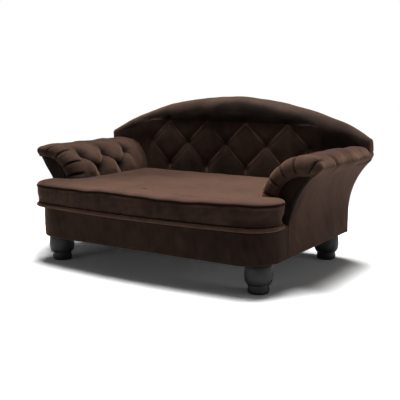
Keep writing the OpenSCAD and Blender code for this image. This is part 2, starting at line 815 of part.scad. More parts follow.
function crest_half() = concat(
    [for (i = [1:crest_stations]) let (x = roll_x * i / crest_stations) [x, seat_arch(x)]],
    [for (a = tip_angles)
        [roll_end - roll_edge_r + tip_radius * sin(a), roll_top - roll_edge_r + tip_radius * cos(a)]],
    [[crest_half_w, roll_top - tip_drop_share * roll_edge_r]]);
function crest_ring(x, low) = let (
    half = crest_half_w,
    from_tip = max(abs(x) - half + roll_edge_r, 0) / roll_edge_r,
    ending = sqrt(1 - pow(tip_end_share * from_tip, 2)),
    high = crest_top(x),
    front = crest_front_y(x),
    back = crest_rear - crest_tip_inset * pow(x / half, tip_power),
    mid_y = (front + back) / 2,
    half_y = (back - front) / 2)
    [for (i = [0:crest_steps]) let (a = 180 * i / crest_steps)
        [x,
         mid_y - half_y * cos(a) * (tip_depth_share + (1 - tip_depth_share) * ending),
         low + (high - low) * pow(sin(a), roll_power)
             * (tip_height_share + (1 - tip_height_share) * ending)]];
function ring_middle(ring) = (ring[0] + ring[crest_steps] + ring[crest_steps / 2]) / 3;

module crest_roll() {
    half = crest_half();
    stations = concat(
        [for (p = reverse(half)) [-p[0], p[1]]],
        [[0, seat_arch(0)]],
        half);
    rings = [for (p = stations) crest_ring(p[0], p[1])];
    color(velvet_light)
    ring_skin(rings, ring_middle(rings[0]), ring_middle(rings[len(rings) - 1]));
}

module back_outer_cover() {
    side_line = [for (p = pad_line(pad_r_out)) if (p[0] > roll_x - overrun) [p[0], p[1]]];
    right = concat(
        [[half_w, foot_h]],
        flare_line(0, foot_h, lining_top),
        reverse(side_line));
    color(velvet)
    slice(inner_back, cover_t)
        polygon(concat(
            right,
            reverse(arch_line(roll_x - overrun, seat_gap)),
            mirror_x(right)));
}

// Seat cushion

// Plan of the cushion's right half, from the middle of the back to the middle of the front
function cushion_half_plan() = let (
    ear = half_w + ear_out,
    bow_r = bow_radius(ear - ear_front_r, front_bow),
    bow_y = bow_r - cushion_front,
    corner_x = ear - ear_front_r,
    corner_y = bow_y - sqrt(pow(bow_r - ear_front_r, 2) - pow(corner_x, 2)),
    bow_angle = asin(corner_x / (bow_r - ear_front_r)))
    concat(
        [for (i = [0:3]) [(cushion_half - cushion_rear_r) * i / 4, cushion_rear]],
        arc(cushion_half - cushion_rear_r, cushion_rear - cushion_rear_r, cushion_rear_r, 90, 0, 4),
        [for (i = [1:5]) [cushion_half,
            cushion_rear - cushion_rear_r - (cushion_rear - cushion_rear_r + ear_rear - neck_r) * i / 6]],
        arc(cushion_half + neck_r, neck_r - ear_rear, neck_r, 180, 270, 3),
        arc(ear - ear_rear_r, -ear_rear - ear_rear_r, ear_rear_r, 90, 0, 3),
        arc(corner_x, corner_y, ear_front_r, 0, bow_angle - 90, 7),
        [for (i = [1:7]) let (a = bow_angle * (1 - i / 7)) [bow_r * sin(a), bow_y - bow_r * cos(a)]]);
// The whole plan, clockwise seen from above
function cushion_plan() = let (half = cushion_half_plan(), n = len(half))
    concat(half, [for (i = [n - 2:-1:1]) [-half[i][0], half[i][1]]]);
// The plan drawn in by d along its normals
function inset(plan, d) = let (n = len(plan)) [for (i = [0:n - 1]) let (
    before = plan[(i + n - 1) % n],
    after = plan[(i + 1) % n],
    run = after - before,
    length = norm(run))
    plan[i] + [run[1], -run[0]] / length * d];

// Height of the flat strip over and under the zip tape
zip_land = 1;
// Distance from the axis of a cord to the cushion's own face
welt_seat = welt_r + seat_gap;
piping_seat = piping_r + seat_gap;
// Rings of the cushion as [inset, height], from the underside to the upper piping
function cushion_sides() = let (
    low = seat_z + welt_r,
    body = welt_r + draw_in,
    flat = zip_tape_h / 2 + zip_land,
    mid = (low + cushion_top) / 2)
    concat(
        [[welt_r + welt_seat, seat_z]],
        [for (a = [0:45:90]) [welt_r + welt_seat * cos(a), low + welt_seat * sin(a)]],
        [[body, mid - flat], [body, mid + flat]],
        [for (a = [-90:45:0]) [welt_r + piping_seat * cos(a), cushion_top + piping_seat * sin(a)]],
        [[welt_r + piping_seat, cushion_top + piping_r]]);
crown_shares = [0.94, 0.84, 0.68, 0.48, 0.25];
crown_power = 4;
module seat_cushion() {
    plan = cushion_plan();
    sides = cushion_sides();
    rim = inset(plan, welt_r + piping_seat);
    centre = [0, -ear_rear - neck_r];
    peak = cushion_top + piping_r + cushion_crown;
    rings = concat(
        [for (s = sides) [for (p = inset(plan, s[0])) [p[0], p[1], s[1]]]],
        [for (t = crown_shares) [for (p = rim) [
            centre[0] + (p[0] - centre[0]) * t,
            centre[1] + (p[1] - centre[1]) * t,
            peak - cushion_crown * pow(t, crown_power)]]]);
    color(velvet_light)
    ring_skin(rings, [centre[0], centre[1], seat_z], [centre[0], centre[1], peak]);
}

// A round cord of cloth that follows the cushion's edge at a height
cord_sides = 6;
module edge_cord(r, z) {
    path = inset(cushion_plan(), welt_r);
    n = len(path);
    rings = [for (i = [0:n - 1]) let (
        run = path[(i + 1) % n] - path[(i + n - 1) % n],
        out = [-run[1], run[0]] / norm(run))
        [for (k = [0:cord_sides - 1]) let (a = 360 * k / cord_sides)
            [path[i][0] + out[0] * r * cos(a), path[i][1] + out[1] * r * cos(a), z + r * sin(a)]]];
    loop_skin(rings);
}

module lower_welt() {
    color(velvet) edge_cord(welt_r, seat_z + welt_r);
}

module upper_piping() {
    color(velvet) edge_cord(piping_r, cushion_top);
}

zip_y = cushion_rear - welt_r - draw_in;
zip_z = (seat_z + welt_r + cushion_top) / 2;
zip_rest = -(zip_l - slider_l) / 2 + slider_l;
module zip_tape() {
    coil_l = zip_l - slider_l;
    color(black_cloth)
    union() {
        translate([-zip_l / 2, zip_y, zip_z - zip_tape_h / 2])
            cube([zip_l, zip_tape_t, zip_tape_h]);
        translate([-coil_l / 2, zip_y + zip_tape_t, zip_z - zip_coil_h / 2])
            cube([coil_l, zip_coil_t, zip_coil_h]);
    }
}

module zip_slider() {
    face = zip_y + zip_tape_t + zip_play;
    color(steel)
    difference() {
        translate([zip_rest - slider_l / 2, face, zip_z - slider_h / 2])
            cube([slider_l, slider_t, slider_h]);
        translate([zip_rest - slider_l / 2 - overrun, face - overrun, zip_z - zip_coil_h / 2 - zip_play])
            cube([slider_l + 2 * overrun, zip_coil_t + overrun, zip_coil_h + 2 * zip_play]);
    }
}

foot(0);  // foot_front_left
foot(1);  // foot_front_right
foot(2);  // foot_rear_left
foot(3);  // foot_rear_right
foot_bolts();
foot_nuts();
foot_blocks();
front_apron();
rear_rail();
side_rail(-1);  // side_rail_left
side_rail(1);  // side_rail_right
cross_rails();
seat_deck();
deck_cloth();
dust_cover();
front_band_cover();
arm_front_board(-1);  // arm_front_board_left
arm_front_board(1);  // arm_front_board_right
arm_rear_board(-1);  // arm_rear_board_left
arm_rear_board(1);  // arm_rear_board_right
arm_lower_rail(-1);  // arm_lower_rail_left
arm_lower_rail(1);  // arm_lower_rail_right
arm_top_batten(-1);  // arm_top_batten_left
arm_top_batten(1);  // arm_top_batten_right
arm_lining(-1);  // arm_lining_left
arm_lining(1);  // arm_lining_right
arm_facing(-1);  // arm_facing_left
arm_facing(1);  // arm_facing_right
arm_outer_cover(-1);  // arm_outer_cover_left
arm_outer_cover(1);  // arm_outer_cover_right
arm_pad(-1);  // arm_pad_left
arm_pad(1);  // arm_pad_right
arm_screws();
back_panel();
back_posts();
crest_rail();
back_pad();
crest_roll();
back_outer_cover();
seat_cushion();
lower_welt();
upper_piping();
zip_tape();
zip_slider();
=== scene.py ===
import json
import math

import bpy
import numpy as np
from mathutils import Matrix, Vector


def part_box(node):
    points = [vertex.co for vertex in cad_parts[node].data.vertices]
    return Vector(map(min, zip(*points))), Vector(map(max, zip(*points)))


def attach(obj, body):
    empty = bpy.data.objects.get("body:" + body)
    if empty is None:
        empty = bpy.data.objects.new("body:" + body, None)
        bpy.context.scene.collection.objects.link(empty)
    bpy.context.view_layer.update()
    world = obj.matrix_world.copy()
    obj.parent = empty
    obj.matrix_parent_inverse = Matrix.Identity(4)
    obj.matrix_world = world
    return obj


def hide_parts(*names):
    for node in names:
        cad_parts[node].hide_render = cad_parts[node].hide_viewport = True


bl_info = {
    "name": "Dog Sofa Bed",
    "version": (1, 0, 0),
    "blender": (4, 5, 0),
    "location": "View3D > Sidebar > Sofa",
    "description": "Upholsters the packed frame of a small tufted sofa bed",
    "category": "Object",
}

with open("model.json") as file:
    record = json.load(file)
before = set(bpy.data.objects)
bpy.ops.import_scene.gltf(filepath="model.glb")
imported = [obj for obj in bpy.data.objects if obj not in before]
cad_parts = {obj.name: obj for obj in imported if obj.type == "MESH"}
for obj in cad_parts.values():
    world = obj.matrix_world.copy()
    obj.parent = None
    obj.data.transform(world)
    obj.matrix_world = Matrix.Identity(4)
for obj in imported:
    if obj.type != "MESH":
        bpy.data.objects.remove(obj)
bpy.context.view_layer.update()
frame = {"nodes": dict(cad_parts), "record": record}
MM = 0.001


def span(node):
    """A solid's lowest and highest corners, in millimetres."""
    low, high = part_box(node)
    return np.array(low) / MM, np.array(high) / MM


def bow_radius(half_chord, bow):
    """The radius of a circle from half a chord and the height of its bow."""
    return (half_chord ** 2 + bow ** 2) / (2.0 * bow)


# Sizes of the frame under the upholstery, in millimetres, read from the solids
BAND, LINING, CREST = span("front_band_cover"), span("arm_lining_right"), span("crest_roll")
HALF_W = BAND[1][0]
BASE_FRONT = -BAND[0][1]
BASE_LOW, DECK_TOP = BAND[0][2], BAND[1][2]
ARM_FRONT = BAND[1][1]
INNER_BACK, LINING_TOP = LINING[1][1], LINING[1][2]
OUTER_BACK = span("back_outer_cover")[1][1]
PANEL_FRONT = span("back_panel")[0][1]
SEAT_Z = span("seat_cushion")[0][2]
CREST_HALF, CREST_Z = CREST[1][0], CREST[1][2]

# Sizes that the solids' boxes do not give, in millimetres
CORNER_R = 78.0
FLARE_R, FLARE_Z = 188.0, 128.0
PAD_R, PAD_T = 103.0, 41.0
ROLL_REACH, ROLL_EDGE_R = 35.0, 24.0
PAD_PROUD, EDGE_TUCK = 13.0, 15.0
ROLL_REAR_R = 30.0
CREST_BOW, CREST_ROLL_H = 107.0, 40.0
CUSHION_REAR, CUSHION_FRONT, CUSHION_H = 155.0, 265.0, 53.5
EAR_OUT = 10.0
ARM_PITCH, ARM_ROW_Y, ARM_ROW_U = 92.0, -76.0, 30.0
BACK_PITCH, BACK_ROW_Z = 126.0, 288.0
BACK_TUFT_Y, BACK_BORDER_Y = 175.0, 168.0
OUTER_CORNER_IN = 16.0
SIDE_LEAN_Z = 196.0
GAP = 0.3
CUSHION_GAP = 2.0

# The crest's ends: the length of their rounding, and how far they come down in front and behind
CREST_TIP, CREST_TIP_FRONT, CREST_TIP_REAR = 5.0, 31.0, 37.0

# How far back the crest's foremost line lies in the middle and at its ends, then its top line in
# the middle, and its rearmost line in the middle and how much that comes forward at the ends
CREST_FRONT_Y, CREST_END_Y, CREST_TOP_Y, CREST_REAR_Y, CREST_REAR_IN = 163.0, 190.0, 226.0, 264.5, 41.0

# How far this sofa is off the even shape of the solids, in millimetres, as in the photograph
LEFT_ROLL_OUT, LEFT_EDGE_IN, LEFT_ROLL_FORWARD = 17.0, 6.0, 11.0
LEFT_ROLL_DOWN, RIGHT_ROLL_UP = 8.5, 4.0
LEFT_CORNER_ROUND, RIGHT_LIP = 13.0, 4.5
CREST_RIGHT_UP, CREST_RIGHT_IN, CREST_LEFT_DROOP = 7.5, 4.5, 7.0
CUSHION_LEFT_SINK, WELT_LEFT_SINK = 4.5, 2.5

WOOD_R = PAD_R - PAD_T + GAP
ROLL_X = LINING[0][0] + PAD_R - PAD_T
ROLL_Z = LINING_TOP - PAD_R + PAD_T
ROLL_TOP = ROLL_Z + PAD_R
ROLL_END = ROLL_X + ROLL_REACH
PAD_FRONT = ARM_FRONT - PAD_PROUD
CREST_R = bow_radius(CREST_HALF, CREST_BOW)
ARCH_Z = CREST_Z - CREST_ROLL_H
CUSHION_HALF = ROLL_X - PAD_R - CUSHION_GAP
CUSHION_TOP = SEAT_Z + CUSHION_H
EAR_HALF = HALF_W + EAR_OUT
EAR_REAR = PAD_FRONT - CUSHION_GAP
BACK_TOP_Z, BACK_LOW_Z = BACK_ROW_Z + BACK_PITCH / 2, BACK_ROW_Z - BACK_PITCH / 2

# The two arms, as the side of the middle that they are on and the word in their names
ARMS = ((-1, "left"), (1, "right"))


# Numbers and fields worked out as whole arrays

def smooth(v):
    """A step from 0 to 1 with level ends: 3t2 - 2t3 of the value held between 0 and 1."""
    t = np.clip(v, 0.0, 1.0)
    return t * t * (3.0 - 2.0 * t)


def blend(a, b, share):
    """The value that is share of the way from a to b."""
    return a + (b - a) * share


def ripple(x, y, z, size, seed, waves=9):
    """A smooth random field between about -1 and 1: a sum of plane waves, each with its own
    direction, phase and a length near size, drawn once from a fixed seed."""
    draw = np.random.RandomState(seed)
    total = 0.0
    for _ in range(waves):
        way = draw.normal(size=3)
        way /= np.linalg.norm(way)
        turns = 2.0 * math.pi / (size * draw.uniform(0.7, 1.5))
        along = (x * way[0] + y * way[1] + z * way[2]) * turns
        total = total + np.sin(along + draw.uniform(0, 2 * math.pi))
    return total / math.sqrt(waves)


def flare_x(z):
    """The arm's side seen from the front: upright up to FLARE_Z, then a circle that sweeps out."""
    return HALF_W + FLARE_R - np.sqrt(FLARE_R ** 2 - np.maximum(z - FLARE_Z, 0.0) ** 2)


def crest_top(x):
    """The crest's arch seen from the front, a circle through its middle and its tips."""
    return CREST_Z - CREST_R + np.sqrt(CREST_R ** 2 - x ** 2)


def seat_arch(x):
    """The arch under the crest roll, a circle that comes down onto the arms' rolls."""
    r = bow_radius(ROLL_X, ARCH_Z - ROLL_TOP - GAP)
    return ARCH_Z - r + np.sqrt(r ** 2 - x ** 2)


def tufting(a, b, pitch):
    """Diamond tufting from two lattice numbers whose whole values are the folds. Returns the
    distance to the nearest fold, and the crown of the pillow between the folds, from 0 on a
    fold to 1 in the middle."""
    reach = pitch / math.sqrt(2.0)
    da = np.abs(a - np.round(a)) * reach
    db = np.abs(b - np.round(b)) * reach
    return np.minimum(da, db), np.abs(np.sin(math.pi * a) * np.sin(math.pi * b)) ** 0.5


def crease(near, width):
    """A narrow groove by the distance from its middle: 1 there, and exp(-distance/width)."""
    return np.exp(-near / width)


def bell(off, width):
    """A soft mound by the distance from its middle: exp(-(distance/width) squared)."""
    return np.exp(-(off / width) ** 2)


def spokes(dx, dy, radius, seed, count=7):
    """Short creases that run out from a tuft at uneven angles and die away, each of its own
    length and depth, drawn from a fixed seed. Returns 0 to 1."""
    draw = np.random.RandomState(seed)
    far = np.hypot(dx, dy)
    total = 0.0
    for k in range(count):
        way = 2 * math.pi * (k + draw.uniform(-0.3, 0.3)) / count
        along = dx * math.cos(way) + dy * math.sin(way)
        across = dx * math.sin(way) - dy * math.cos(way)
        reach = radius * draw.uniform(0.7, 1.5)
        line = crease(np.abs(across), 1.1 + 0.05 * far) * smooth(along / 4.0)
        total = total + draw.uniform(0.4, 1.0) * line * bell(far, reach)
    return np.minimum(total, 1.2)


# Meshes

def put_mesh(name, points, quads, tris=()):
    """Makes a mesh object from a list of points in millimetres, quads and triangles."""
    quads = np.asarray(quads, np.int32).reshape(-1, 4)
    tris = np.asarray(tris, np.int32).reshape(-1, 3)
    mesh = bpy.data.meshes.new(name)
    mesh.vertices.add(len(points))
    mesh.vertices.foreach_set("co", (np.asarray(points, float) * MM).astype(np.float32).ravel())
    corners = np.concatenate([quads.ravel(), tris.ravel()])
    sizes = np.concatenate([np.full(len(quads), 4), np.full(len(tris), 3)])
    mesh.loops.add(len(corners))
    mesh.loops.foreach_set("vertex_index", corners.astype(np.int32))
    mesh.polygons.add(len(sizes))
    starts = np.concatenate([[0], np.cumsum(sizes)[:-1]]).astype(np.int32)
    mesh.polygons.foreach_set("loop_start", starts)
    mesh.polygons.foreach_set("loop_total", sizes.astype(np.int32))
    mesh.update(calc_edges=True)
    mesh.validate()
    mesh.polygons.foreach_set("use_smooth", np.ones(len(mesh.polygons), bool))
    piece = bpy.data.objects.new(name, mesh)
    bpy.context.scene.collection.objects.link(piece)
    return piece


def loft(name, rings, flip=False, closed=False):
    """A skin over closed rings of points, as an array of rings x points x 3. Each end is closed
    by a fan to the ring's middle, or the last ring joins the first if closed."""
    m, n = rings.shape[:2]
    points = rings.reshape(-1, 3)
    j, i = np.meshgrid(np.arange(m if closed else m - 1), np.arange(n), indexing="ij")
    k, l = (j + 1) % m, (i + 1) % n
    quads = np.stack([j * n + i, j * n + l, k * n + l, k * n + i], -1).reshape(-1, 4)
    tris = np.zeros((0, 3), int)
    if not closed:
        points = np.vstack([points, rings[0].mean(0), rings[-1].mean(0)])
        i = np.arange(n)
        l, last = (i + 1) % n, (m - 1) * n
        tris = np.concatenate([np.stack([np.full(n, m * n), l, i], -1),
                               np.stack([np.full(n, m * n + 1), last + i, last + l], -1)])
    if flip:
        quads, tris = quads[:, ::-1], tris[:, ::-1]
    return put_mesh(name, points, quads, tris)


def keep_nap_and_shading(piece, nap_and_shading):
    """Keeps how the nap lies at each point, together with painted light and shade, as the piece's
    own attribute, which the velvet reads: 1 light, from brushed nap and painted highlights, 0
    plain, -1 dark, from parted nap and painted shade. The points in the middle of a closed end
    are past the given ones and get 0."""
    values = np.zeros(len(piece.data.vertices), np.float32)
    values[:nap_and_shading.size] = np.clip(nap_and_shading, -1, 1).ravel()
    piece.data.attributes.new("nap_and_shading", "FLOAT", "POINT").data.foreach_set("value", values)


def places(piece):
    """The points of a piece as three arrays x, y, z, in millimetres."""
    points = np.empty(3 * len(piece.data.vertices), np.float32)
    piece.data.vertices.foreach_get("co", points)
    return points.reshape(-1, 3).T.astype(float) / MM


def mirrored(points, side):
    """The arm's points as they are for side 1, or mirrored in the sofa's middle for side -1. The
    left arm leans a little further out and forward at its front corner, as in the photograph."""
    out = np.array(points, float)
    if side < 0:
        x, y, z = out[..., 0], out[..., 1], out[..., 2]
        lean = (1 - smooth((y + 150.0) / 240.0)) * smooth((z - 140.0) / 55.0)
        x += lean * (LEFT_ROLL_OUT * smooth((x - 285.0) / 50.0) - LEFT_EDGE_IN * smooth((x - 365.0) / 35.0))
        y -= LEFT_ROLL_FORWARD * lean * smooth((x - 350.0) / 40.0)
        x *= -1
    return out


def finish_piece(piece, body, nodes, finish):
    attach(piece, body)
    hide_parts(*nodes)
    piece.data.materials.clear()
    piece.data.materials.append(finish)


# Materials

def node_group(name, inputs, outputs):
    """A new shader group with its inputs as (name, kind, value) and outputs as (name, kind)."""
    tree = bpy.data.node_groups.new(name, "ShaderNodeTree")
    for label, kind, value in inputs:
        made = tree.interface.new_socket(name=label, in_out="INPUT", socket_type=kind)
        if value is not None:
            made.default_value = value
    for label, kind in outputs:
        tree.interface.new_socket(name=label, in_out="OUTPUT", socket_type=kind)
    return tree, tree.nodes.new("NodeGroupInput"), tree.nodes.new("NodeGroupOutput")


def add(tree, kind, values=(), **settings):
    """A node with its settings and input values, each input by its name or number."""
    made = tree.nodes.new(kind)
    for key, value in settings.items():
        setattr(made, key, value)
    for key, value in dict(values).items():
        made.inputs[key].default_value = value
    return made


def join(tree, *pairs):
    """Links pairs of sockets, each given as (from, to)."""
    for start, end in pairs:
        tree.links.new(start, end)


def maths(tree, operation, first, second):
    """A maths node on two sockets or numbers. Returns its output."""
    made = tree.nodes.new("ShaderNodeMath")
    made.operation = operation
    for place, value in enumerate((first, second)):
        if isinstance(value, (int, float)):
            made.inputs[place].default_value = value
        else:
            tree.links.new(value, made.inputs[place])
    return made.outputs[0]


def mix_colour(tree, share, first, second, how="MIX"):
    """A colour mix of two sockets or colours by a socket or number. Returns its output."""
    made = tree.nodes.new("ShaderNodeMix")
    made.data_type = "RGBA"
    made.blend_type = how
    for place, value in ((0, share), (6, first), (7, second)):
        if isinstance(value, bpy.types.NodeSocket):
            tree.links.new(value, made.inputs[place])
        else:
            made.inputs[place].default_value = value
    return made.outputs[2]


def nap_and_shading_group():
    """Velvet's nap and painted light: broad brushed patches, finer streaks and single fibres.
    Colour is the pile colour moved towards the brushed colour by the patches and by the nap
    input above 0, which holds brushed nap and painted highlights, and darkened by that input
    below 0, which holds parted nap and painted shade. Height is the fibres and streaks together."""
    tree, start, end = node_group("velvet_nap_and_shading", [
        ("Vector", "NodeSocketVector", None),
        ("Pile", "NodeSocketColor", (0.03, 0.015, 0.01, 1)),
        ("Brushed", "NodeSocketColor", (0.06, 0.03, 0.02, 1)),
        ("Patch Scale", "NodeSocketFloat", 14.0),
        ("Fibre Scale", "NodeSocketFloat", 1100.0),
        ("Brush", "NodeSocketFloat", 0.0),
    ], [("Colour", "NodeSocketColor"), ("Height", "NodeSocketFloat")])
    patch = add(tree, "ShaderNodeTexNoise", {"Detail": 3.0, "Roughness": 0.55, "Distortion": 0.8})
    streak = add(tree, "ShaderNodeTexNoise", {"Detail": 4.0, "Roughness": 0.6, "Distortion": 0.3})
    fibre = add(tree, "ShaderNodeTexNoise", {"Detail": 1.0, "Roughness": 0.5})
    shift = maths(tree, "MULTIPLY", start.outputs["Patch Scale"], 6.0)
    join(tree,
         (start.outputs["Vector"], patch.inputs["Vector"]),
         (start.outputs["Vector"], streak.inputs["Vector"]),
         (start.outputs["Vector"], fibre.inputs["Vector"]),
         (start.outputs["Patch Scale"], patch.inputs["Scale"]),
         (shift, streak.inputs["Scale"]),
         (start.outputs["Fibre Scale"], fibre.inputs["Scale"]))
    ramp = add(tree, "ShaderNodeMapRange", {"From Min": 0.32, "From Max": 0.68})
    join(tree, (patch.outputs["Fac"], ramp.inputs["Value"]))
    soft = maths(tree, "MULTIPLY", ramp.outputs["Result"], 0.26)
    fine = maths(tree, "MULTIPLY", streak.outputs["Fac"], 0.2)
    up = maths(tree, "MULTIPLY", maths(tree, "MAXIMUM", start.outputs["Brush"], 0.0), 0.7)
    share = maths(tree, "ADD", maths(tree, "ADD", soft, fine), up)
    base = mix_colour(tree, share, start.outputs["Pile"], start.outputs["Brushed"])
    # Painted shade and parted nap darken the colour
    parted_and_shaded = maths(tree, "MULTIPLY", maths(tree, "MINIMUM", start.outputs["Brush"], 0.0), 0.88)
    down = maths(tree, "ADD", parted_and_shaded, 1.0)
    grains = maths(tree, "ADD", maths(tree, "MULTIPLY", fibre.outputs["Fac"], 0.5), 0.75)
    speck = maths(tree, "MULTIPLY", grains, down)
    join(tree,
         (mix_colour(tree, 1.0, base, speck, "MULTIPLY"), end.inputs["Colour"]),
         (maths(tree, "ADD", fibre.outputs["Fac"], maths(tree, "MULTIPLY", streak.outputs["Fac"], 0.6)),
          end.inputs["Height"]))
    return tree


def grain_group():
    """Wood grain along X: rings stretched along the wood, and fine pores."""
    tree, start, end = node_group("wood_grain", [
        ("Vector", "NodeSocketVector", None),
        ("Light", "NodeSocketColor", (0.6, 0.4, 0.2, 1)),
        ("Dark", "NodeSocketColor", (0.4, 0.25, 0.12, 1)),
        ("Grain Scale", "NodeSocketFloat", 30.0),
    ], [("Colour", "NodeSocketColor"), ("Height", "NodeSocketFloat")])
    stretch = add(tree, "ShaderNodeMapping")
    stretch.inputs["Scale"].default_value = (0.08, 1.0, 1.0)
    rings = add(tree, "ShaderNodeTexNoise", {"Detail": 5.0, "Roughness": 0.65, "Distortion": 1.2})
    pores = add(tree, "ShaderNodeTexNoise", {"Detail": 2.0, "Roughness": 0.5})
    join(tree,
         (start.outputs["Vector"], stretch.inputs["Vector"]),
         (stretch.outputs["Vector"], rings.inputs["Vector"]),
         (stretch.outputs["Vector"], pores.inputs["Vector"]),
         (start.outputs["Grain Scale"], rings.inputs["Scale"]),
         (maths(tree, "MULTIPLY", start.outputs["Grain Scale"], 14.0), pores.inputs["Scale"]))
    share = maths(tree, "ADD", maths(tree, "MULTIPLY", rings.outputs["Fac"], 0.75),
                  maths(tree, "MULTIPLY", pores.outputs["Fac"], 0.25))
    contrast = add(tree, "ShaderNodeMapRange", {"From Min": 0.36, "From Max": 0.62})
    join(tree, (share, contrast.inputs["Value"]))
    join(tree,
         (mix_colour(tree, contrast.outputs["Result"], start.outputs["Light"], start.outputs["Dark"]),
          end.inputs["Colour"]),
         (share, end.inputs["Height"]))
    return tree


def weave_group():
    """A plain weave: two sets of crossing threads from sine waves along two directions."""
    tree, start, end = node_group("plain_weave", [
        ("Vector", "NodeSocketVector", None),
        ("Thread", "NodeSocketColor", (0.02, 0.02, 0.02, 1)),
        ("Gap", "NodeSocketColor", (0.005, 0.005, 0.005, 1)),
        ("Threads per Metre", "NodeSocketFloat", 900.0),
    ], [("Colour", "NodeSocketColor"), ("Height", "NodeSocketFloat")])
    split = add(tree, "ShaderNodeSeparateXYZ")
    join(tree, (start.outputs["Vector"], split.inputs["Vector"]))
    turn = maths(tree, "MULTIPLY", start.outputs["Threads per Metre"], math.pi)
    ways = (maths(tree, "ADD", split.outputs["X"], split.outputs["Z"]), split.outputs["Y"])
    waves = [maths(tree, "ABSOLUTE", maths(tree, "SINE", maths(tree, "MULTIPLY", way, turn), 0.0), 0.0)
             for way in ways]
    height = maths(tree, "MULTIPLY", waves[0], waves[1])
    join(tree,
         (mix_colour(tree, height, start.outputs["Gap"], start.outputs["Thread"]), end.inputs["Colour"]),
         (height, end.inputs["Height"]))
    return tree


GROUPS = {}


def group(kind):
    """The shared group of that kind, made the first time it is asked for."""
    if kind not in GROUPS:
        GROUPS[kind] = {"nap_and_shading": nap_and_shading_group, "grain": grain_group, "weave": weave_group}[kind]()
    return GROUPS[kind]


def surface(name, kind, inputs, shader, bump, distance):
    """A material of a Principled shader with plain values, whose colour and bump come from a
    shared group on Object coordinates. Velvet also reads a piece's own attribute of nap and
    painted light and shade."""
    made = bpy.data.materials.new(name)
    made.use_nodes = True
    tree = made.node_tree
    principled = tree.nodes["Principled BSDF"]
    for key, value in shader.items():
        principled.inputs[key].default_value = value
    place = add(tree, "ShaderNodeTexCoord")
    effect = tree.nodes.new("ShaderNodeGroup")
    effect.node_tree = group(kind)
    for key, value in inputs.items():
        effect.inputs[key].default_value = value
    rise = add(tree, "ShaderNodeBump", {"Strength": bump, "Distance": distance})
    if kind == "nap_and_shading":
        brushed = add(tree, "ShaderNodeAttribute", attribute_name="nap_and_shading")
        join(tree, (brushed.outputs["Fac"], effect.inputs["Brush"]))
    join(tree,
         (place.outputs["Object"], effect.inputs["Vector"]),
         (effect.outputs["Colour"], principled.inputs["Base Color"]),
         (effect.outputs["Height"], rise.inputs["Height"]),
         (rise.outputs["Normal"], principled.inputs["Normal"]))
    return made


def grey(level):
    """An opaque grey colour."""
    return (level, level, level, 1.0)


def velvet(look, name, pile, brushed, sheen=None, gloss=0.11):
    """Cut velvet: a dark pile with a strong sheen at its edges, in the user's colours times the
    given ones."""
    pile, brushed = np.array(look.velvet_pile) * pile, np.array(look.velvet_brushed) * brushed
    return surface(name, "nap_and_shading",
                   {"Pile": (*pile, 1), "Brushed": (*brushed, 1), "Patch Scale": 14.0,
                    "Fibre Scale": 1.0 / look.fibre_size},
                   {"Roughness": 0.85, "Specular IOR Level": gloss,
                    "Sheen Weight": look.sheen_amount if sheen is None else sheen,
                    "Sheen Roughness": look.sheen_roughness, "Sheen Tint": (*look.sheen, 1)},
                   0.25, 0.0006)


# The finishes with fixed colours: name, shared group and its inputs, the shader's values, and the
# bump's strength and distance in metres
FINISHES = {
    "plywood": (
        "birch_plywood", "grain",
        {"Light": (0.62, 0.44, 0.26, 1), "Dark": (0.44, 0.29, 0.15, 1), "Grain Scale": 45.0},
        {"Roughness": 0.7}, 0.2, 0.0005),
    "softwood": (
        "planed_pine", "grain",
        {"Light": (0.70, 0.52, 0.31, 1), "Dark": (0.50, 0.31, 0.15, 1), "Grain Scale": 28.0},
        {"Roughness": 0.65}, 0.25, 0.0006),
    "black_cloth": (
        "black_lining_cloth", "weave",
        {"Thread": grey(0.018), "Gap": grey(0.005), "Threads per Metre": 700.0},
        {"Roughness": 0.95, "Sheen Weight": 0.2}, 0.5, 0.0004),
    "zinc_steel": (
        "zinc_plated_steel", "grain",
        {"Light": (0.62, 0.62, 0.60, 1), "Dark": (0.44, 0.45, 0.46, 1), "Grain Scale": 90.0},
        {"Roughness": 0.35, "Metallic": 1.0}, 0.1, 0.0002),
    "zip_tape": (
        "woven_zip_tape", "weave",
        {"Thread": (0.03, 0.018, 0.014, 1), "Gap": (0.008, 0.005, 0.004, 1), "Threads per Metre": 1400.0},
        {"Roughness": 0.8}, 0.6, 0.0003),
    "zip_metal": (
        "brown_enamel", "grain",
        {"Light": (0.05, 0.03, 0.024, 1), "Dark": (0.03, 0.018, 0.014, 1), "Grain Scale": 200.0},
        {"Roughness": 0.3, "Coat Weight": 0.5}, 0.05, 0.0002),
}

# The velvets: name, and what the user's pile colour and brushed colour are multiplied by. The
# cord lies in the seam's shade, so it is dark and has less sheen and gloss of its own.
VELVETS = {
    "velvet": ("chocolate_velvet", (1.0, 1.0, 1.0), (1.0, 1.0, 1.0)),
    # The back's velvet has a darker pile and a brushed colour about twice as bright, for painted highlights
    # on the lips of its folds
    "back_velvet": ("tufted_back_velvet", (0.78, 0.92, 1.05), (1.95, 2.15, 2.3)),
    "dark_cord": ("shaded_velvet_cord", (0.2, 0.2, 0.2), (0.25, 0.25, 0.25), 0.04, 0.03),
}

MATERIALS = {}


def material(name):
    """The finish of that name, made the first time it is asked for."""
    if name in MATERIALS:
        return MATERIALS[name]
    look = bpy.context.scene.sofa_colours
    if name in VELVETS:
        made = velvet(look, *VELVETS[name])
    elif name == "turned_wood":
        made = surface(
            "black_lacquered_wood", "grain",
            {"Light": (*look.foot, 1), "Dark": (*(0.6 * np.array(look.foot)), 1), "Grain Scale": 60.0},
            {"Roughness": 0.55, "Specular IOR Level": 0.3}, 0.15, 0.0004)
    else:
        made = surface(*FINISHES[name])
    MATERIALS[name] = made
    return made


# Shapes of the pieces

# Where the middle of each foot stands, x and y in millimetres
FEET = {"foot_front_left": (-294, -175), "foot_front_right": (294, -175),
        "foot_rear_left": (-294, 203), "foot_rear_right": (294, 203)}


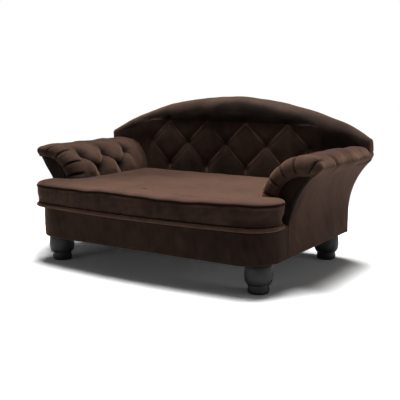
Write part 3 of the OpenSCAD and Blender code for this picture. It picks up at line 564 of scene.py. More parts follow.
def foot_profile():
    """Radius and height of the turned foot from sole to collar: a quarter ellipse for the ring,
    a cosine into the neck, two sine quarters for the bulb and a small step under the collar."""
    sole_r, ring_r, neck_r, bulb_r = 20.75, 25.0, 23.5, 32.5
    ring_z, neck_z, bulb_z, collar_z = 8.5, 20.0, 41.0, 66.0
    under_collar_r, bulb_over_collar = 27.2, 5.3
    t = np.linspace(0, 1, 15)
    quarter = math.pi * t / 2
    ring = np.stack([sole_r + (ring_r - sole_r) * np.sqrt(1 - (1 - t) ** 2), ring_z * t], -1)
    neck = np.stack([neck_r + (ring_r - neck_r) * (1 + np.cos(math.pi * t)) / 2,
                     ring_z + (neck_z - ring_z) * t], -1)
    low = np.stack([neck_r + (bulb_r - neck_r) * np.sin(quarter),
                    bulb_z - (bulb_z - neck_z) * np.cos(quarter)], -1)
    high = np.stack([under_collar_r + bulb_over_collar * np.cos(quarter),
                     bulb_z + (collar_z - bulb_z) * np.sin(quarter)], -1)
    collar = np.array([[27.6, 66.4], [28.1, 66.9], [28.3, 67.6], [28.2, 68.6], [28.0, 69.4], [27.8, 70.0]])
    return np.concatenate([ring, neck[1:], low[1:], high[1:], collar])


def foot_points(x, y):
    """The foot's profile turned about its upright axis at x, y."""
    profile = foot_profile()
    turn = np.linspace(0, 2 * math.pi, 96, endpoint=False)
    r, z = profile[:, :1], profile[:, 1:]
    return np.stack([x + r * np.cos(turn), y + r * np.sin(turn), z + 0 * turn], -1)


def band_path(count=220):
    """The base's front line seen from above: two sides, two round corners, a straight front.
    Points are evenly spaced along it but for its ends, with the outward direction of each."""
    side = ARM_FRONT + BASE_FRONT - CORNER_R
    lengths = np.array([abs(side), math.pi / 2 * CORNER_R, 2 * (HALF_W - CORNER_R),
                        math.pi / 2 * CORNER_R, abs(side)])
    at = np.concatenate([[0], np.cumsum(lengths)])
    s = np.concatenate([[0, 0.2], np.linspace(1.0, at[-1] - 1.0, count - 4), [at[-1] - 0.2, at[-1]]])
    zero = 0 * s
    corner_x, corner_y = HALF_W - CORNER_R, CORNER_R - BASE_FRONT
    angle_a = math.pi + (s - at[1]) / CORNER_R
    angle_b = 1.5 * math.pi + (s - at[3]) / CORNER_R
    parts = [s < at[1], s < at[2], s < at[3], s < at[4]]
    angle = np.select(parts, [math.pi + zero, angle_a, 1.5 * math.pi + zero, angle_b], 2 * math.pi)
    cx = np.select(parts, [-corner_x + zero, -corner_x + zero, -corner_x + s - at[2], corner_x + zero],
                   corner_x)
    cy = np.select(parts, [ARM_FRONT - s, corner_y + zero, corner_y + zero, corner_y + zero],
                   corner_y + s - at[4])
    out = np.stack([np.cos(angle), np.sin(angle)], -1)
    return np.stack([cx, cy], -1) + out * CORNER_R, out


def band_rings():
    """The front band: a thin slab that follows the base's front line. Its section is upright
    with a round lower edge, pulled in a little towards both edges, and its face has the slight
    unevenness of cloth over board."""
    path, out = band_path()
    low, top, edge, thick = BASE_LOW, DECK_TOP, 5.0, 2.8
    turn = np.linspace(-math.pi / 2, 0, 9)[:-1]
    face_z = np.concatenate([low + edge + edge * np.sin(turn), np.linspace(low + edge, top - 1.5, 46),
                             [top - 0.6, top - 0.1]])
    face_in = np.concatenate([edge - edge * np.cos(turn), np.zeros(46), [0.4, 1.2]])
    face_in = face_in * thick / edge
    back_z = np.array([top - 0.1, low + edge, low + 0.2])
    z = np.concatenate([face_z, back_z])
    inward = np.concatenate([face_in, np.full(len(back_z), thick)])
    on_face = np.concatenate([np.ones(len(face_z)), np.zeros(len(back_z))])
    belly = np.sin(math.pi * np.clip((z - low) / (top - low), 0, 1)) * on_face
    x = path[:, None, 0] + 0 * z
    y = path[:, None, 1] + 0 * z
    zz = z + 0 * x
    uneven = 0.7 * ripple(x, y, zz, 75.0, 3) * on_face * belly
    off = 0.5 * belly - inward + uneven
    return np.stack([x + out[:, None, 0] * off, y + out[:, None, 1] * off, zz], -1)


def band_nap_and_shading(x, y, z):
    """The front band's nap and painted shade: upright strokes of nap, painted shade over the whole
    band that deepens towards the right corner, and painted shade along its seams with the deck
    and the arms.
    """
    strokes = 0.55 * ripple(x, y, 0.45 * z, 46.0, 4) + 0.45 * ripple(x, y, 0.5 * z, 17.0, 5)
    seam_shade = crease(np.maximum(ARM_FRONT - y, 0), 2.5) + crease(np.maximum(DECK_TOP - 1.0 - z, 0), 2.2)
    return -0.2 + 0.22 * strokes - 0.42 * smooth((x - 20.0) / 200.0) - 0.9 * seam_shade


# Arms, worked out on the right and mirrored to the left

def pad_face(s):
    """The arm pad's face seen from the front, by the length s along it from the seat: upright,
    then the round of radius PAD_R, a level top, the small round of the outer edge and a short
    drop. Returns x, z, the outward direction and the length at which each of the five ends."""
    rise = ROLL_Z - SEAT_Z
    quarter = PAD_R * math.pi / 2
    flat = ROLL_END - ROLL_EDGE_R - ROLL_X
    edge = ROLL_EDGE_R * math.pi / 2
    a1, a2, a3, a4 = rise, rise + quarter, rise + quarter + flat, rise + quarter + flat + edge
    drop = ROLL_TOP - ROLL_EDGE_R - LINING_TOP - 0.4
    turn = math.pi - np.clip((s - a1) / PAD_R, 0, math.pi / 2)
    turn2 = math.pi / 2 - np.clip((s - a3) / ROLL_EDGE_R, 0, math.pi / 2)
    down = np.clip((s - a4) / drop, 0, 1)
    x = np.select([s < a1, s < a2, s < a3, s < a4],
                  [ROLL_X - PAD_R + 0 * s, ROLL_X + PAD_R * np.cos(turn), ROLL_X + s - a2,
                   ROLL_END - ROLL_EDGE_R + ROLL_EDGE_R * np.cos(turn2)],
                  ROLL_END - EDGE_TUCK * down ** 1.2)
    z = np.select([s < a1, s < a2, s < a3, s < a4],
                  [SEAT_Z + s, ROLL_Z + PAD_R * np.sin(turn), ROLL_TOP + 0 * s,
                   ROLL_TOP - ROLL_EDGE_R + ROLL_EDGE_R * np.sin(turn2)],
                  ROLL_TOP - ROLL_EDGE_R - drop * down)
    nx = np.where(s < a3, np.cos(turn), np.cos(turn2))
    nz = np.where(s < a3, np.sin(turn), np.sin(turn2))
    return x, z, nx, nz, (a1, a2, a3, a4, a4 + drop)


def wood_face(s, marks):
    """The line on the arm's wood that lies under each point of the pad's face."""
    a1, a2, _, _, a5 = marks
    turn = math.pi - np.clip((s - a1) / PAD_R, 0, math.pi / 2)
    tip = flare_x(LINING_TOP)
    past = np.clip((s - a2) / (a5 - a2), 0, 1)
    x = np.where(s < a2, ROLL_X + WOOD_R * np.cos(turn), ROLL_X + (tip - ROLL_X) * past)
    z = np.where(s < a1, SEAT_Z + s, ROLL_Z + WOOD_R * np.sin(turn))
    return x, z


def arm_tufts():
    """The places y, u of the tufts in the arm's two rows."""
    half = ARM_PITCH / 2
    return ([(ARM_ROW_Y + half + k * ARM_PITCH, ARM_ROW_U) for k in range(2)]
            + [(ARM_ROW_Y + k * ARM_PITCH, ARM_ROW_U + half) for k in range(3)])


def arm_sink(y, u, side):
    """How far the pad's face lies under its full round, by the place y along the arm and the
    length u up the face: a deep bell at each tuft, diamond folds between the tufts, narrow in
    the middle and broad at their shoulders, which run out as single pleats over the roll and
    down to the seat, creases like spokes round each tuft, and slack in the cloth between.
    Also returns the nap and painted light there: painted shade in the folds, the tuft hollows
    and the spoke creases, a painted highlight on the pillows' crowns, and a little random nap."""
    depth = bpy.context.scene.sofa_sizes.arm_tuft_depth / MM
    rows = np.clip((u - ARM_ROW_U) / ARM_PITCH, 0.0, 0.5)
    bend = 3.0 * np.sin(2 * math.pi * (u - ARM_ROW_U) / ARM_PITCH) * (rows < 0.5) * (rows > 0)
    cols = (y + bend - ARM_ROW_Y) / ARM_PITCH - 0.5
    near, crown = tufting(cols + rows, cols - rows, ARM_PITCH)
    past_top = smooth((u - ARM_ROW_U - ARM_PITCH / 2) / 100.0)
    past_rear = smooth((y - ARM_ROW_Y - 2 * ARM_PITCH + 6.0) / 26.0)
    past_front = smooth((ARM_ROW_Y - y + 6.0) / 22.0)
    field = (1 - past_rear) * (1 - past_front) * (1 - past_top)
    far = 1000.0 + 0 * near
    for ty, tu in arm_tufts():
        far = np.minimum(far, np.hypot(y - ty, u - tu))
    sink = field * (depth * 0.22 * bell(near, 12.0)
                    + depth * crease(near, 2.6) * (0.06 + 0.14 * bell(far, 30.0)))
    sink = sink + depth * (0.42 * bell(far, 20.0) + 0.2 * bell(far, 10.0))
    sink = sink - 3.0 * crown * field * smooth((u - 6.0) / 20.0)
    # Painted shade in the folds and in each tuft's hollow, and a painted highlight on the pillows' crowns
    folds = crease(near, 2.2) * (0.35 + 0.65 * bell(far, 36.0)) + 0.3 * bell(near, 9.0)
    nap_and_shading = 0.3 * crown * field - field * folds - 0.9 * bell(far, 13.0)
    # Each tuft's spoke creases get painted shade too
    for k, (ty, tu) in enumerate(arm_tufts()):
        lines = spokes(y - ty, u - tu, 20.0, 100 + 10 * k + side)
        sink = sink + 0.08 * depth * lines
        nap_and_shading = nap_and_shading - 0.55 * lines
    puff = np.exp(-((y - ARM_ROW_Y + 16.0) / 26.0) ** 2 - ((u - 36.0) / 30.0) ** 2)
    calm = 1 - 0.5 * past_front
    across = side * 400.0 + 0 * y
    slack = 0.8 * ripple(across, y, u, 80.0, 11) + 0.25 * ripple(across, y, 0.6 * u, 24.0, 12)
    sink = sink - 3.0 * puff + calm * slack
    return sink, nap_and_shading + 0.12 * ripple(side * 300.0 + 0 * y, y, u, 45.0, 14)


# The lengths up the arm pad's face at which its front edge is gathered, in millimetres
GATHER_U = (22.0, 58.0, 96.0, 137.0, 190.0)


def gathers(u, side):
    """Depth from 0 to about 1 of the gathers on the front edge: a narrow slit at each place in
    GATHER_U, slightly off on each arm, with fuller cloth between and fine lines beside them."""
    draw = np.random.RandomState(70 + side)
    total = 0.0
    for place in GATHER_U:
        off = u - place - draw.uniform(-2.5, 2.5) * (place > GATHER_U[0])
        total = total + draw.uniform(0.9, 1.2) * (crease(np.abs(off), 1.5) + 0.25 * bell(off, 6.0))
    fine = crease(np.abs(np.sin(math.pi * (u / 9.3 + 0.7 * np.sin(u / 21.0 + side)))), 0.25)
    return total + 0.13 * fine - 0.22


def pleat_reach(u, side):
    """How far back each gather runs, in millimetres: uneven up the edge, and longer on the right
    arm than on the left."""
    return 22.0 + 4.0 * side + 5.0 * np.sin(u / 17.0 + 2.0 * side) + 0 * u


def roll_puckers(y, s, marks, side):
    """Depth of the small puckers on the roll's outer edge: a few short seams across the edge,
    each with a soft crease that leads to it over the top, and fine slack towards the back."""
    _, _, a3, a4, _ = marks
    over = smooth((s - a3 + 26.0) / 30.0)
    edge = smooth((s - a3 - 4.0) / 10.0)
    deep = 0.0
    for place, weight in ((-33.0, 1.0), (112.0, 0.4)):
        off = y - place + 0.5 * np.maximum(a4 - s, 0.0) * side
        deep = deep + weight * (0.8 * edge * crease(np.abs(off), 1.6) + 1.3 * over * bell(off, 10.0))
    slack = edge * smooth((y - 110.0) / 70.0) * ripple(side * 90.0 + 0 * y, y, s, 20.0, 13)
    return deep + 0.4 * slack


def arm_pad_rings(side):
    """The arm pad as closed rings, one for each length along its face from the seat up and over
    the roll, and its nap with painted light and shade. A ring leaves the wood, turns round the
    front in a half circle, runs back along the face and returns on the wood. Gathers narrow its
    front. The roll stands high on the right arm and low on the left, whose front corner is round,
    while the right arm has a full lip at the seat, as in the photograph."""
    marks = pad_face(np.zeros(1))[4]
    s = np.linspace(0, marks[4], 260)[:, None]
    u = s - marks[0]
    x, z, nx, nz, _ = pad_face(s)
    wx, wz = wood_face(s, marks)
    turn = PAD_T / 2
    start, back = PAD_FRONT + turn, INNER_BACK - GAP
    sweep = np.linspace(0, math.pi, 27)
    run = np.linspace(0, 1, 250)[1:]
    face_y = start + (back - start) * (0.7 * run + 0.3 * run ** 2)
    tail, wood = np.array([0.4, -0.3, -1.0]), np.linspace(back, start, 26)[1:-1]
    y = np.concatenate([start + 0 * sweep, face_y, back + 0 * tail, wood])
    ahead = np.concatenate([np.sin(sweep), 0 * face_y, 0 * tail, 0 * wood])
    out = np.concatenate([-np.cos(sweep), 1 + 0 * face_y, tail, -1 + 0 * wood])
    yy, uu = y + 0 * u, u + 0 * y
    near = 1 - smooth((yy - start) / pleat_reach(uu, side))
    folds = gathers(uu, side)
    gather = bpy.context.scene.sofa_sizes.gather_depth / MM * folds * near
    gather = gather * smooth((out + 0.7) / 0.8) * smooth((uu + 6.0) / 8.0)
    at_back = np.clip((yy - back + 44.0) / 44.0, 0, 1)
    corner = ROLL_REAR_R * (1 - np.sqrt(1 - 0.98 * at_back ** 2)) * smooth((x - ROLL_X - 8.0) / 24.0)
    corner = corner * (1 - 0.75 * smooth((uu - 180.0) / 25.0))
    if side < 0:
        raised = -LEFT_ROLL_DOWN * smooth((245.0 - yy) / 60.0)
        rounded = LEFT_CORNER_ROUND * (1 - smooth((yy + 165.0) / 80.0))
        corner = corner + rounded * smooth((uu - 115.0) / 50.0)
    else:
        raised = RIGHT_ROLL_UP * smooth((150.0 - yy) / 60.0)
    swell = smooth((x - ROLL_X + 70.0) / 60.0) * raised
    lip = RIGHT_LIP * bell(uu - 9.0, 8.0) * near * (side > 0)
    pucker = roll_puckers(yy, s + 0 * yy, marks, side)
    sink, nap_and_shading = arm_sink(yy, uu, side)
    sink = (sink + corner - swell + pucker - lip) * np.clip(out, 0, 1)
    # The nap with painted light: painted shade in the gather slits and puckers, a painted highlight on the
    # front edge, stronger on the right arm, and painted shade on the wood side and where the front turns
    # towards it
    front = 1 - smooth((yy - start) / 30.0)
    slit_shade = np.clip(folds + 0.1, 0, 1) * near * smooth((out + 0.9) / 0.6)
    front_edge_light = 0.75 - 0.4 * smooth((uu - 165.0) / 20.0) if side > 0 else 0.15
    nap_and_shading = nap_and_shading * (1 - front) + front_edge_light * front - 2.6 * slit_shade - 0.35 * pucker
    nap_and_shading = np.where(out > -0.95, nap_and_shading, -0.6) - 0.9 * smooth((-out - 0.35) / 0.6) * front
    keep = 1 - gather / turn
    px = (x + wx) / 2 + (x - wx) / 2 * out * keep - nx * sink
    pz = (z + wz) / 2 + (z - wz) / 2 * out * keep - nz * sink
    py = yy - turn * ahead * keep * (1 - 0.62 * smooth((uu - 182.0) / 36.0))
    return mirrored(np.stack([px, py, pz], -1), side), nap_and_shading


def side_lean(z):
    """How far the arm's outer cloth leans out over its board to meet the roll's edge."""
    reach = ROLL_END - EDGE_TUCK - 2 * GAP - flare_x(LINING_TOP)
    return reach * smooth((z - SIDE_LEAN_Z) / (LINING_TOP - SIDE_LEAN_Z)) ** 1.3


def side_round(z):
    """The radius of the arm's front outer edge: crisp beside the band, soft above it."""
    return blend(3.2, 9.0, smooth((z - DECK_TOP + 6.0) / 60.0))


def side_rings(side):
    """The arm's outer cover as closed rings, one at each height. A ring turns round the front
    edge in a quarter circle, runs back along the swept face and returns the same way inside.
    The top leans out to the roll's edge, and the face is slightly slack."""
    low_edge, back_y = 6.0, INNER_BACK - 0.2
    h = np.concatenate([np.linspace(0, low_edge, 7)[:-1],
                        np.linspace(low_edge, LINING_TOP - BASE_LOW - 0.5, 100)])[:, None]
    z = BASE_LOW + h
    turn = np.linspace(0, math.pi / 2, 13)[:-1]
    front_y, thick = ARM_FRONT + GAP, 2.9
    edge = side_round(z)
    low_in = 2.6 * (1 - np.sqrt(1 - (1 - np.clip(h / low_edge, 0, 1)) ** 2))
    run = np.linspace(0, 1, 150)
    cy = front_y + edge
    y_out = np.concatenate([cy - edge * np.cos(turn), cy + (back_y - cy) * run], 1)
    lean = side_lean(z) * smooth((INNER_BACK - y_out) / 40.0 + 0.4)
    cx = flare_x(z) - low_in - edge
    belly = smooth((y_out - ARM_FRONT) / 40) * smooth((INNER_BACK - y_out) / 40) * smooth(h / 30) \
        * smooth((LINING_TOP - z) / 30)
    slack = belly * (1.2 + 0.8 * ripple(side * 50.0 + 0 * y_out, y_out, 0.5 * z, 120.0, 21))
    x_out = np.concatenate([cx + edge * np.sin(turn), cx + edge + 0 * run], 1) + lean + slack
    inner = np.maximum(edge - thick, 0.2)
    turn, run = turn[::3], run[::-6][::-1]
    y_in = np.concatenate([cy - inner * np.cos(turn), cy + (back_y - cy) * run], 1)
    lean_in = side_lean(z) * smooth((INNER_BACK - y_in) / 40.0 + 0.4)
    x_in = np.concatenate([cx + inner * np.sin(turn), cx + inner + 0 * run], 1) + 0.8 * lean_in
    xs = np.concatenate([x_out, x_in[:, ::-1]], 1)
    ys = np.concatenate([y_out, y_in[:, ::-1]], 1)
    return mirrored(np.stack([xs, ys, z + 0 * ys], -1), side)


def facing_rings(side):
    """The arm's flat facing as closed rings, one at each height. A ring runs across the face from
    the roll's inner edge to the arm's swept side, with a round outer edge, and returns behind.
    The cloth dips where it is tucked under the pad."""
    z = np.linspace(DECK_TOP + 1.3, LINING_TOP - 0.4, 100)[:, None]
    round_r = WOOD_R - 0.8
    left = ROLL_X - np.sqrt(np.maximum(round_r ** 2 - np.maximum(z - ROLL_Z, 0.0) ** 2, 1.0))
    right = flare_x(z) - side_round(z) + 0.4 + side_lean(z)
    u = np.concatenate([np.linspace(0, 1, 44)[:-4] ** 0.9, [0.93, 0.955, 0.975, 0.99, 1.0]])
    x = left + (right - left) * u
    from_left = x - left
    dip = 0.5 * crease(from_left, 3.0)
    full = smooth(from_left / 25) * smooth((right - x) / 14)
    under = 0.5 * smooth((x - right + 1.5) / 1.5)
    puff = full * (0.7 + 0.4 * ripple(side * 80.0 + x, 0 * x, z, 70.0, 61))
    y = ARM_FRONT + GAP + dip + under - puff
    back_x = x[:, ::-6]
    xs = np.concatenate([x, back_x], 1)
    ys = np.concatenate([y, ARM_FRONT + 2.95 + 0 * back_x], 1)
    return mirrored(np.stack([xs, ys, z + 0 * xs], -1), side)


def facing_nap_and_shading(x, y, z):
    """Painted shade and nap on an arm's facing: painted shade over the whole face, which lies
    under the roll, deeper where the cloth goes under the pad, and a little random nap.
    """
    off = ROLL_X - np.abs(x)
    under = WOOD_R - np.where(z > ROLL_Z, np.hypot(off, z - ROLL_Z), np.abs(off))
    # Painted shade over the face, a little deeper on the right arm
    down = blend(-0.55, -0.6, x > 0)
    return down - 0.25 * crease(np.maximum(under, 0), 7.0) + 0.1 * ripple(x, 0 * x, z, 40.0, 62)


def side_nap_and_shading(x, y, z):
    """The nap and painted shade on the arm's outer side: slanting strokes of nap, painted shade
    towards the front edge, and painted shade in its seam beside the band.
    """
    fade = 16.0 + 52.0 * smooth((z - DECK_TOP - 15.0) / 60.0)
    front = 1 - smooth((y - ARM_FRONT - 9.0) / fade)
    seam = (1 - smooth((y - ARM_FRONT) / 3.5)) * (1 - smooth((z - DECK_TOP) / 12.0))
    strokes = (0.6 * ripple(0 * x, y + 0.8 * z, 0.25 * z, 42.0, 22)
               + 0.4 * ripple(0 * x, y + 0.9 * z, 0.2 * z, 16.0, 23))
    return 0.12 + 0.24 * strokes - 1.1 * front * smooth((z - DECK_TOP + 5.0) / 30.0) - 0.9 * seam


def panel_piece(name, face, depth):
    """A closed slab from a grid of face points: the same grid moved back by depth, and a wall
    round the edge. Rows run up and columns run along +X seen from the front."""
    m, n = face.shape[:2]
    back = face + np.asarray(depth, float)
    points = np.concatenate([face.reshape(-1, 3), back.reshape(-1, 3)])
    j, i = np.meshgrid(np.arange(m - 1), np.arange(n - 1), indexing="ij")
    a = (j * n + i).ravel()
    front = np.stack([a, a + 1, a + n + 1, a + n], -1)
    rear = front[:, ::-1] + m * n
    edge = np.concatenate([np.arange(n), np.arange(1, m) * n + n - 1,
                           (m - 1) * n + np.arange(n - 2, -1, -1), np.arange(m - 2, 0, -1) * n])
    nxt = np.roll(edge, -1)
    wall = np.stack([nxt, edge, edge + m * n, nxt + m * n], -1)
    return put_mesh(name, points, np.concatenate([front, rear, wall]))


# Back

def crest_line(x):
    """The top of the crest's cover, whose right end stands a little higher than the left."""
    return crest_top(x) + CREST_RIGHT_UP * smooth((x - 215.0) / 150.0)


def back_front_line(x):
    """The foremost line of the crest roll: how far back it lies and its height."""
    t = (np.abs(x) / CREST_HALF) ** 2
    return blend(CREST_FRONT_Y, CREST_END_Y, t), crest_top(x) - blend(42.0, 13.0, t)


def nest_z(x):
    """The lowest height of the back at x: the seat, or the round of the arm's roll beside it."""
    off = np.abs(x) - ROLL_X
    r = PAD_R + 2 * GAP
    over = np.sqrt(np.maximum(r ** 2 - np.minimum(off, 0.0) ** 2, 0.0))
    edge = np.maximum(np.abs(x) - (ROLL_END - ROLL_EDGE_R), 0.0)
    er = ROLL_EDGE_R + 2 * GAP
    drop = er - np.sqrt(np.maximum(er ** 2 - np.minimum(edge, er) ** 2, 0.0))
    return np.where(np.abs(x) < CUSHION_HALF + CUSHION_GAP - GAP, SEAT_Z + GAP, ROLL_Z + over - drop)


def back_tufts():
    """The places x, z of the tufts in the back's three rows."""
    outer, inner = BACK_PITCH * np.arange(-1.5, 2), BACK_PITCH * np.arange(-2, 3)
    return ([(x, BACK_TOP_Z) for x in outer] + [(x, BACK_ROW_Z) for x in inner]
            + [(x, BACK_LOW_Z) for x in outer])


def back_lattice(x, z):
    """The tufts' columns and rows at x, z, as counts of BACK_PITCH."""
    return x / BACK_PITCH, np.clip((z - BACK_ROW_Z) / BACK_PITCH, -0.5, 0.5)


def back_face_y(x, z):
    """How far back the inside of the sofa's back lies at x, z: diamond pillows between the tufts,
    upright pleats below the lowest row, one level fold along the top row, a smooth border that
    comes forward to the crest roll, and plain wings beyond the outer tufts."""
    depth = bpy.context.scene.sofa_sizes.back_tuft_depth / MM
    front_y, front_z = back_front_line(x)
    cols, rows = back_lattice(x, z)
    near, crown = tufting(cols + rows, cols - rows, BACK_PITCH)
    below = smooth((BACK_LOW_Z - z) / 78.0)
    full = 0.3 * crown + 0.22 * (1 - bell(near, 11.0)) + 0.16 * bell(near, 2.6)
    full = full * (1 - 0.45 * below) + 0.45 * below
    tuft_y = BACK_TUFT_Y - depth * full
    above = np.clip((z - BACK_TOP_Z) / np.maximum(front_z - BACK_TOP_Z, 4.0), 0, 1)
    level = BACK_BORDER_Y + 3.0 * (1 - np.abs(np.sin(math.pi * (x / BACK_PITCH + 0.5))))
    tuft_y = tuft_y + crease(np.maximum(BACK_TOP_Z - z, 0.0), 5.0) * (level - tuft_y)
    border_y = blend(level, front_y, np.sin(math.pi / 2 * above) ** 0.7)
    y = np.where(z > BACK_TOP_Z, border_y, tuft_y)
    wing_y = front_y + 6.0 * smooth((front_z - z) / 70.0)
    beyond = smooth((np.abs(x) - 2 * BACK_PITCH + 34.0) / 58.0)
    y = blend(y, wing_y, beyond)
    for k, (tx, tz) in enumerate(back_tufts()):
        weight = 1 - 0.5 * (abs(tx) > 1.8 * BACK_PITCH)
        far = np.hypot(x - tx, z - tz)
        y = y + weight * depth * (0.3 * bell(far, 13.0) + 0.16 * bell(far, 5.0))
        y = y + weight * 0.1 * depth * spokes(x - tx, z - tz, 15.0, 200 + k)
    return y


def back_nap_and_shading(x, z):
    """Painted light and shade on the inside of the back, with a little random nap: painted
    highlights along the lips of the folds and in a fan under each tuft, painted shade under the
    crest, at the right wing, towards the right, low down and in each tuft's hollow, and a painted
    highlight along the crest's top."""
    cols, rows = back_lattice(x, z)
    near, _ = tufting(cols + rows, cols - rows, BACK_PITCH)
    top = z - crest_line(x)
    reach = smooth((2 * BACK_PITCH + 6.0 - np.abs(x)) / 30.0)
    field = smooth((BACK_TOP_Z + 1.0 - z) / 3.0) * reach
    patchy = 0.75 + 0.35 * ripple(x, 0 * x, z, 60.0, 91)
    # Where the painted shade under the crest lies, reaching lower towards the right end
    under = top + 26.0 + 11.0 * smooth((x - 200.0) / 70.0) + 6.0 * ripple(x, 0 * x, 0 * z, 90.0, 93)
    under = 1 - smooth(under / 16.0)
    shade = smooth((z - BACK_TOP_Z) / 3.0) * under
    low = smooth((BACK_ROW_Z - 10.0 - z) / 110.0)
    # Painted shade on the right wing, and a painted highlight along the crest's top
    wing = smooth((np.abs(x) - 2 * BACK_PITCH - 10.0) / 40.0) * under * (x > 0)
    crest = 0.2 * smooth((top + 16.0) / 10.0) * (1 - smooth((x - 120.0) / 180.0))
    # Painted highlights on the folds' lips, painted shade over the face and more of it low down
    nap_and_shading = 1.35 * field * patchy * bell(near, 2.6) - 0.38 - 0.22 * low
    nap_and_shading = nap_and_shading + 0.1 * ripple(x, 0 * x, z, 55.0, 92)
    # Painted shade under the crest, on the right wing and towards the right, and the crest's painted
    # highlight
    nap_and_shading = nap_and_shading - 0.6 * shade - 0.55 * wing - 0.2 * smooth((x - 130.0) / 150.0) + crest
    for k, (tx, tz) in enumerate(back_tufts()):
        dx, down = x - tx, tz - z
        below = np.maximum(down, 0)
        wide = 0.42 + 0.12 * math.sin(3.0 * k)
        # A painted highlight in a fan under each tuft, and painted shade in its hollow
        fan = bell(dx, 3.5 + wide * below) * crease(below, 14.0)
        nap_and_shading = nap_and_shading + (0.6 + 0.15 * math.cos(2.0 * k)) * fan * smooth((down + 3.0) / 4.0)
        nap_and_shading = nap_and_shading - 0.5 * np.exp(-(dx / 5.0) ** 2 - ((down + 6.0) / 5.0) ** 2)
    return nap_and_shading


def crest_edges(x):
    """The lines that the cover's section at x goes through: the crest's foremost line, the face's
    lowest height, the top line, and the rear line with the height of the underside. The left
    end's lower edge droops, as in the photograph. Past the rolls' edges both ends come down
    behind the rolls, so no gap is left."""
    least_t = 13.0
    t = (np.abs(x) / CREST_HALF) ** 2
    front_y, front_z = back_front_line(x)
    top_z = crest_line(x)
    low_z = np.minimum(nest_z(x), front_z - 0.5) - CREST_LEFT_DROOP * smooth((-x - 235.0) / 60.0)
    at_tip = smooth((np.abs(x) - ROLL_END + ROLL_EDGE_R) / 8.0)
    low_z = blend(low_z, np.maximum(low_z, crest_top(x) - CREST_TIP_FRONT), at_tip)
    front_z = front_z + 0.8 * (top_z - crest_top(x))
    rear_y = CREST_REAR_Y - CREST_REAR_IN * t ** 2
    top_y = blend(CREST_TOP_Y, (front_y + rear_y) / 2, t)
    rear_low = seat_arch(np.clip(x, -ROLL_X, ROLL_X)) + 1.0
    rear_low = np.maximum(np.minimum(rear_low, top_z - least_t), nest_z(x) + 1.0)
    rear_low = blend(rear_low, np.minimum(rear_low, top_z - CREST_TIP_REAR), at_tip)
    return front_y, front_z, low_z, top_y, top_z, rear_y, rear_low


def back_cover_rings():
    """The back's cover as closed rings, one at each x, and its nap with painted light and shade.
    A ring climbs the inside face, goes over the crest as two quarter ellipses, and returns under
    the crest and down behind the face. Points are shared between face and crest by their lengths.
    At each tip the ring shrinks in a quarter round to a closed end, and the right one stands
    further in, as in the photograph."""
    tip = CREST_HALF - CREST_TIP
    q = np.linspace(0, math.pi / 2, 9)[1:]
    half_x = np.concatenate([np.linspace(0, tip, 200), tip + 4.6 * np.sin(q),
                             [CREST_HALF - 0.1, CREST_HALF]])
    scale = np.concatenate([np.ones(200), 1 - 0.22 * (1 - np.cos(q)), [0.5, 0.15]])
    x = np.concatenate([-half_x[:0:-1], half_x])
    placed = x - CREST_RIGHT_IN * smooth((x - 300.0) / 100.0)
    scale = np.concatenate([scale[:0:-1], scale])[:, None]
    xs = np.clip(x, -tip, tip)[:, None]
    front_y, front_z, low_z, top_y, top_z, rear_y, rear_low = crest_edges(xs)
    face_len = front_z - low_z
    crest_len = 0.6 * math.pi * (top_z - front_z + 30.0)
    share = face_len / (face_len + crest_len)
    s = np.linspace(0, 1, 190)
    on_face = s < share
    tf = np.clip(s / np.maximum(share, 1e-6), 0, 1)
    face_z = low_z + face_len * tf
    face_y = back_face_y(xs + 0 * s, face_z)
    turn = math.pi * np.clip((s - share) / (1 - share), 0, 1)
    first = turn < math.pi / 2
    square = 0.62
    arc_y = np.where(first, top_y - (top_y - front_y) * np.maximum(np.cos(turn), 0) ** square,
                     top_y - (rear_y - top_y) * np.cos(turn))
    arc_z = np.where(first, front_z + (top_z - front_z) * np.sin(turn) ** (square + 0.16),
                     rear_low + (top_z - rear_low) * np.sin(turn) ** 0.8)
    y = np.where(on_face, face_y, arc_y)
    z = np.where(on_face, face_z, arc_z)
    nap_and_shading = np.where(on_face | first, back_nap_and_shading(xs + 0 * s, z), 0.0)
    k = np.linspace(0, 1, 8)[1:]
    panel_y = PANEL_FRONT - 1.0
    under_y = rear_y + (panel_y - rear_y) * k
    under_z = rear_low - 0.6 * np.sin(math.pi * k) + 0 * under_y
    down = np.linspace(0, 1, 14)[1:]
    back_y = panel_y + 0 * down + 0 * xs
    back_z = rear_low + (low_z - rear_low) * down
    y = np.concatenate([y, under_y, back_y], 1)
    z = np.concatenate([z, under_z, back_z], 1)
    nap_and_shading = np.concatenate([nap_and_shading, 0 * under_y, 0 * back_y], 1)
    mid_y = (front_y + rear_y) / 2
    mid_z = (np.maximum(low_z, rear_low) + top_z) / 2
    y, z = mid_y + (y - mid_y) * scale, mid_z + (z - mid_z) * scale
    on = np.concatenate([np.where(on_face, 0.4, 1.0), 0 * under_y, 0 * back_y], 1)
    xx = placed[:, None] + 0 * y
    lift = on * (ripple(xx, y, z, 120.0, 31) + 0.45 * ripple(xx, y, z, 45.0, 32))
    out_y, out_z = y - mid_y, z - mid_z
    far = np.hypot(out_y, out_z) + 1.0
    return np.stack([xx, y + lift * out_y / far, z + lift * out_z / far], -1), nap_and_shading


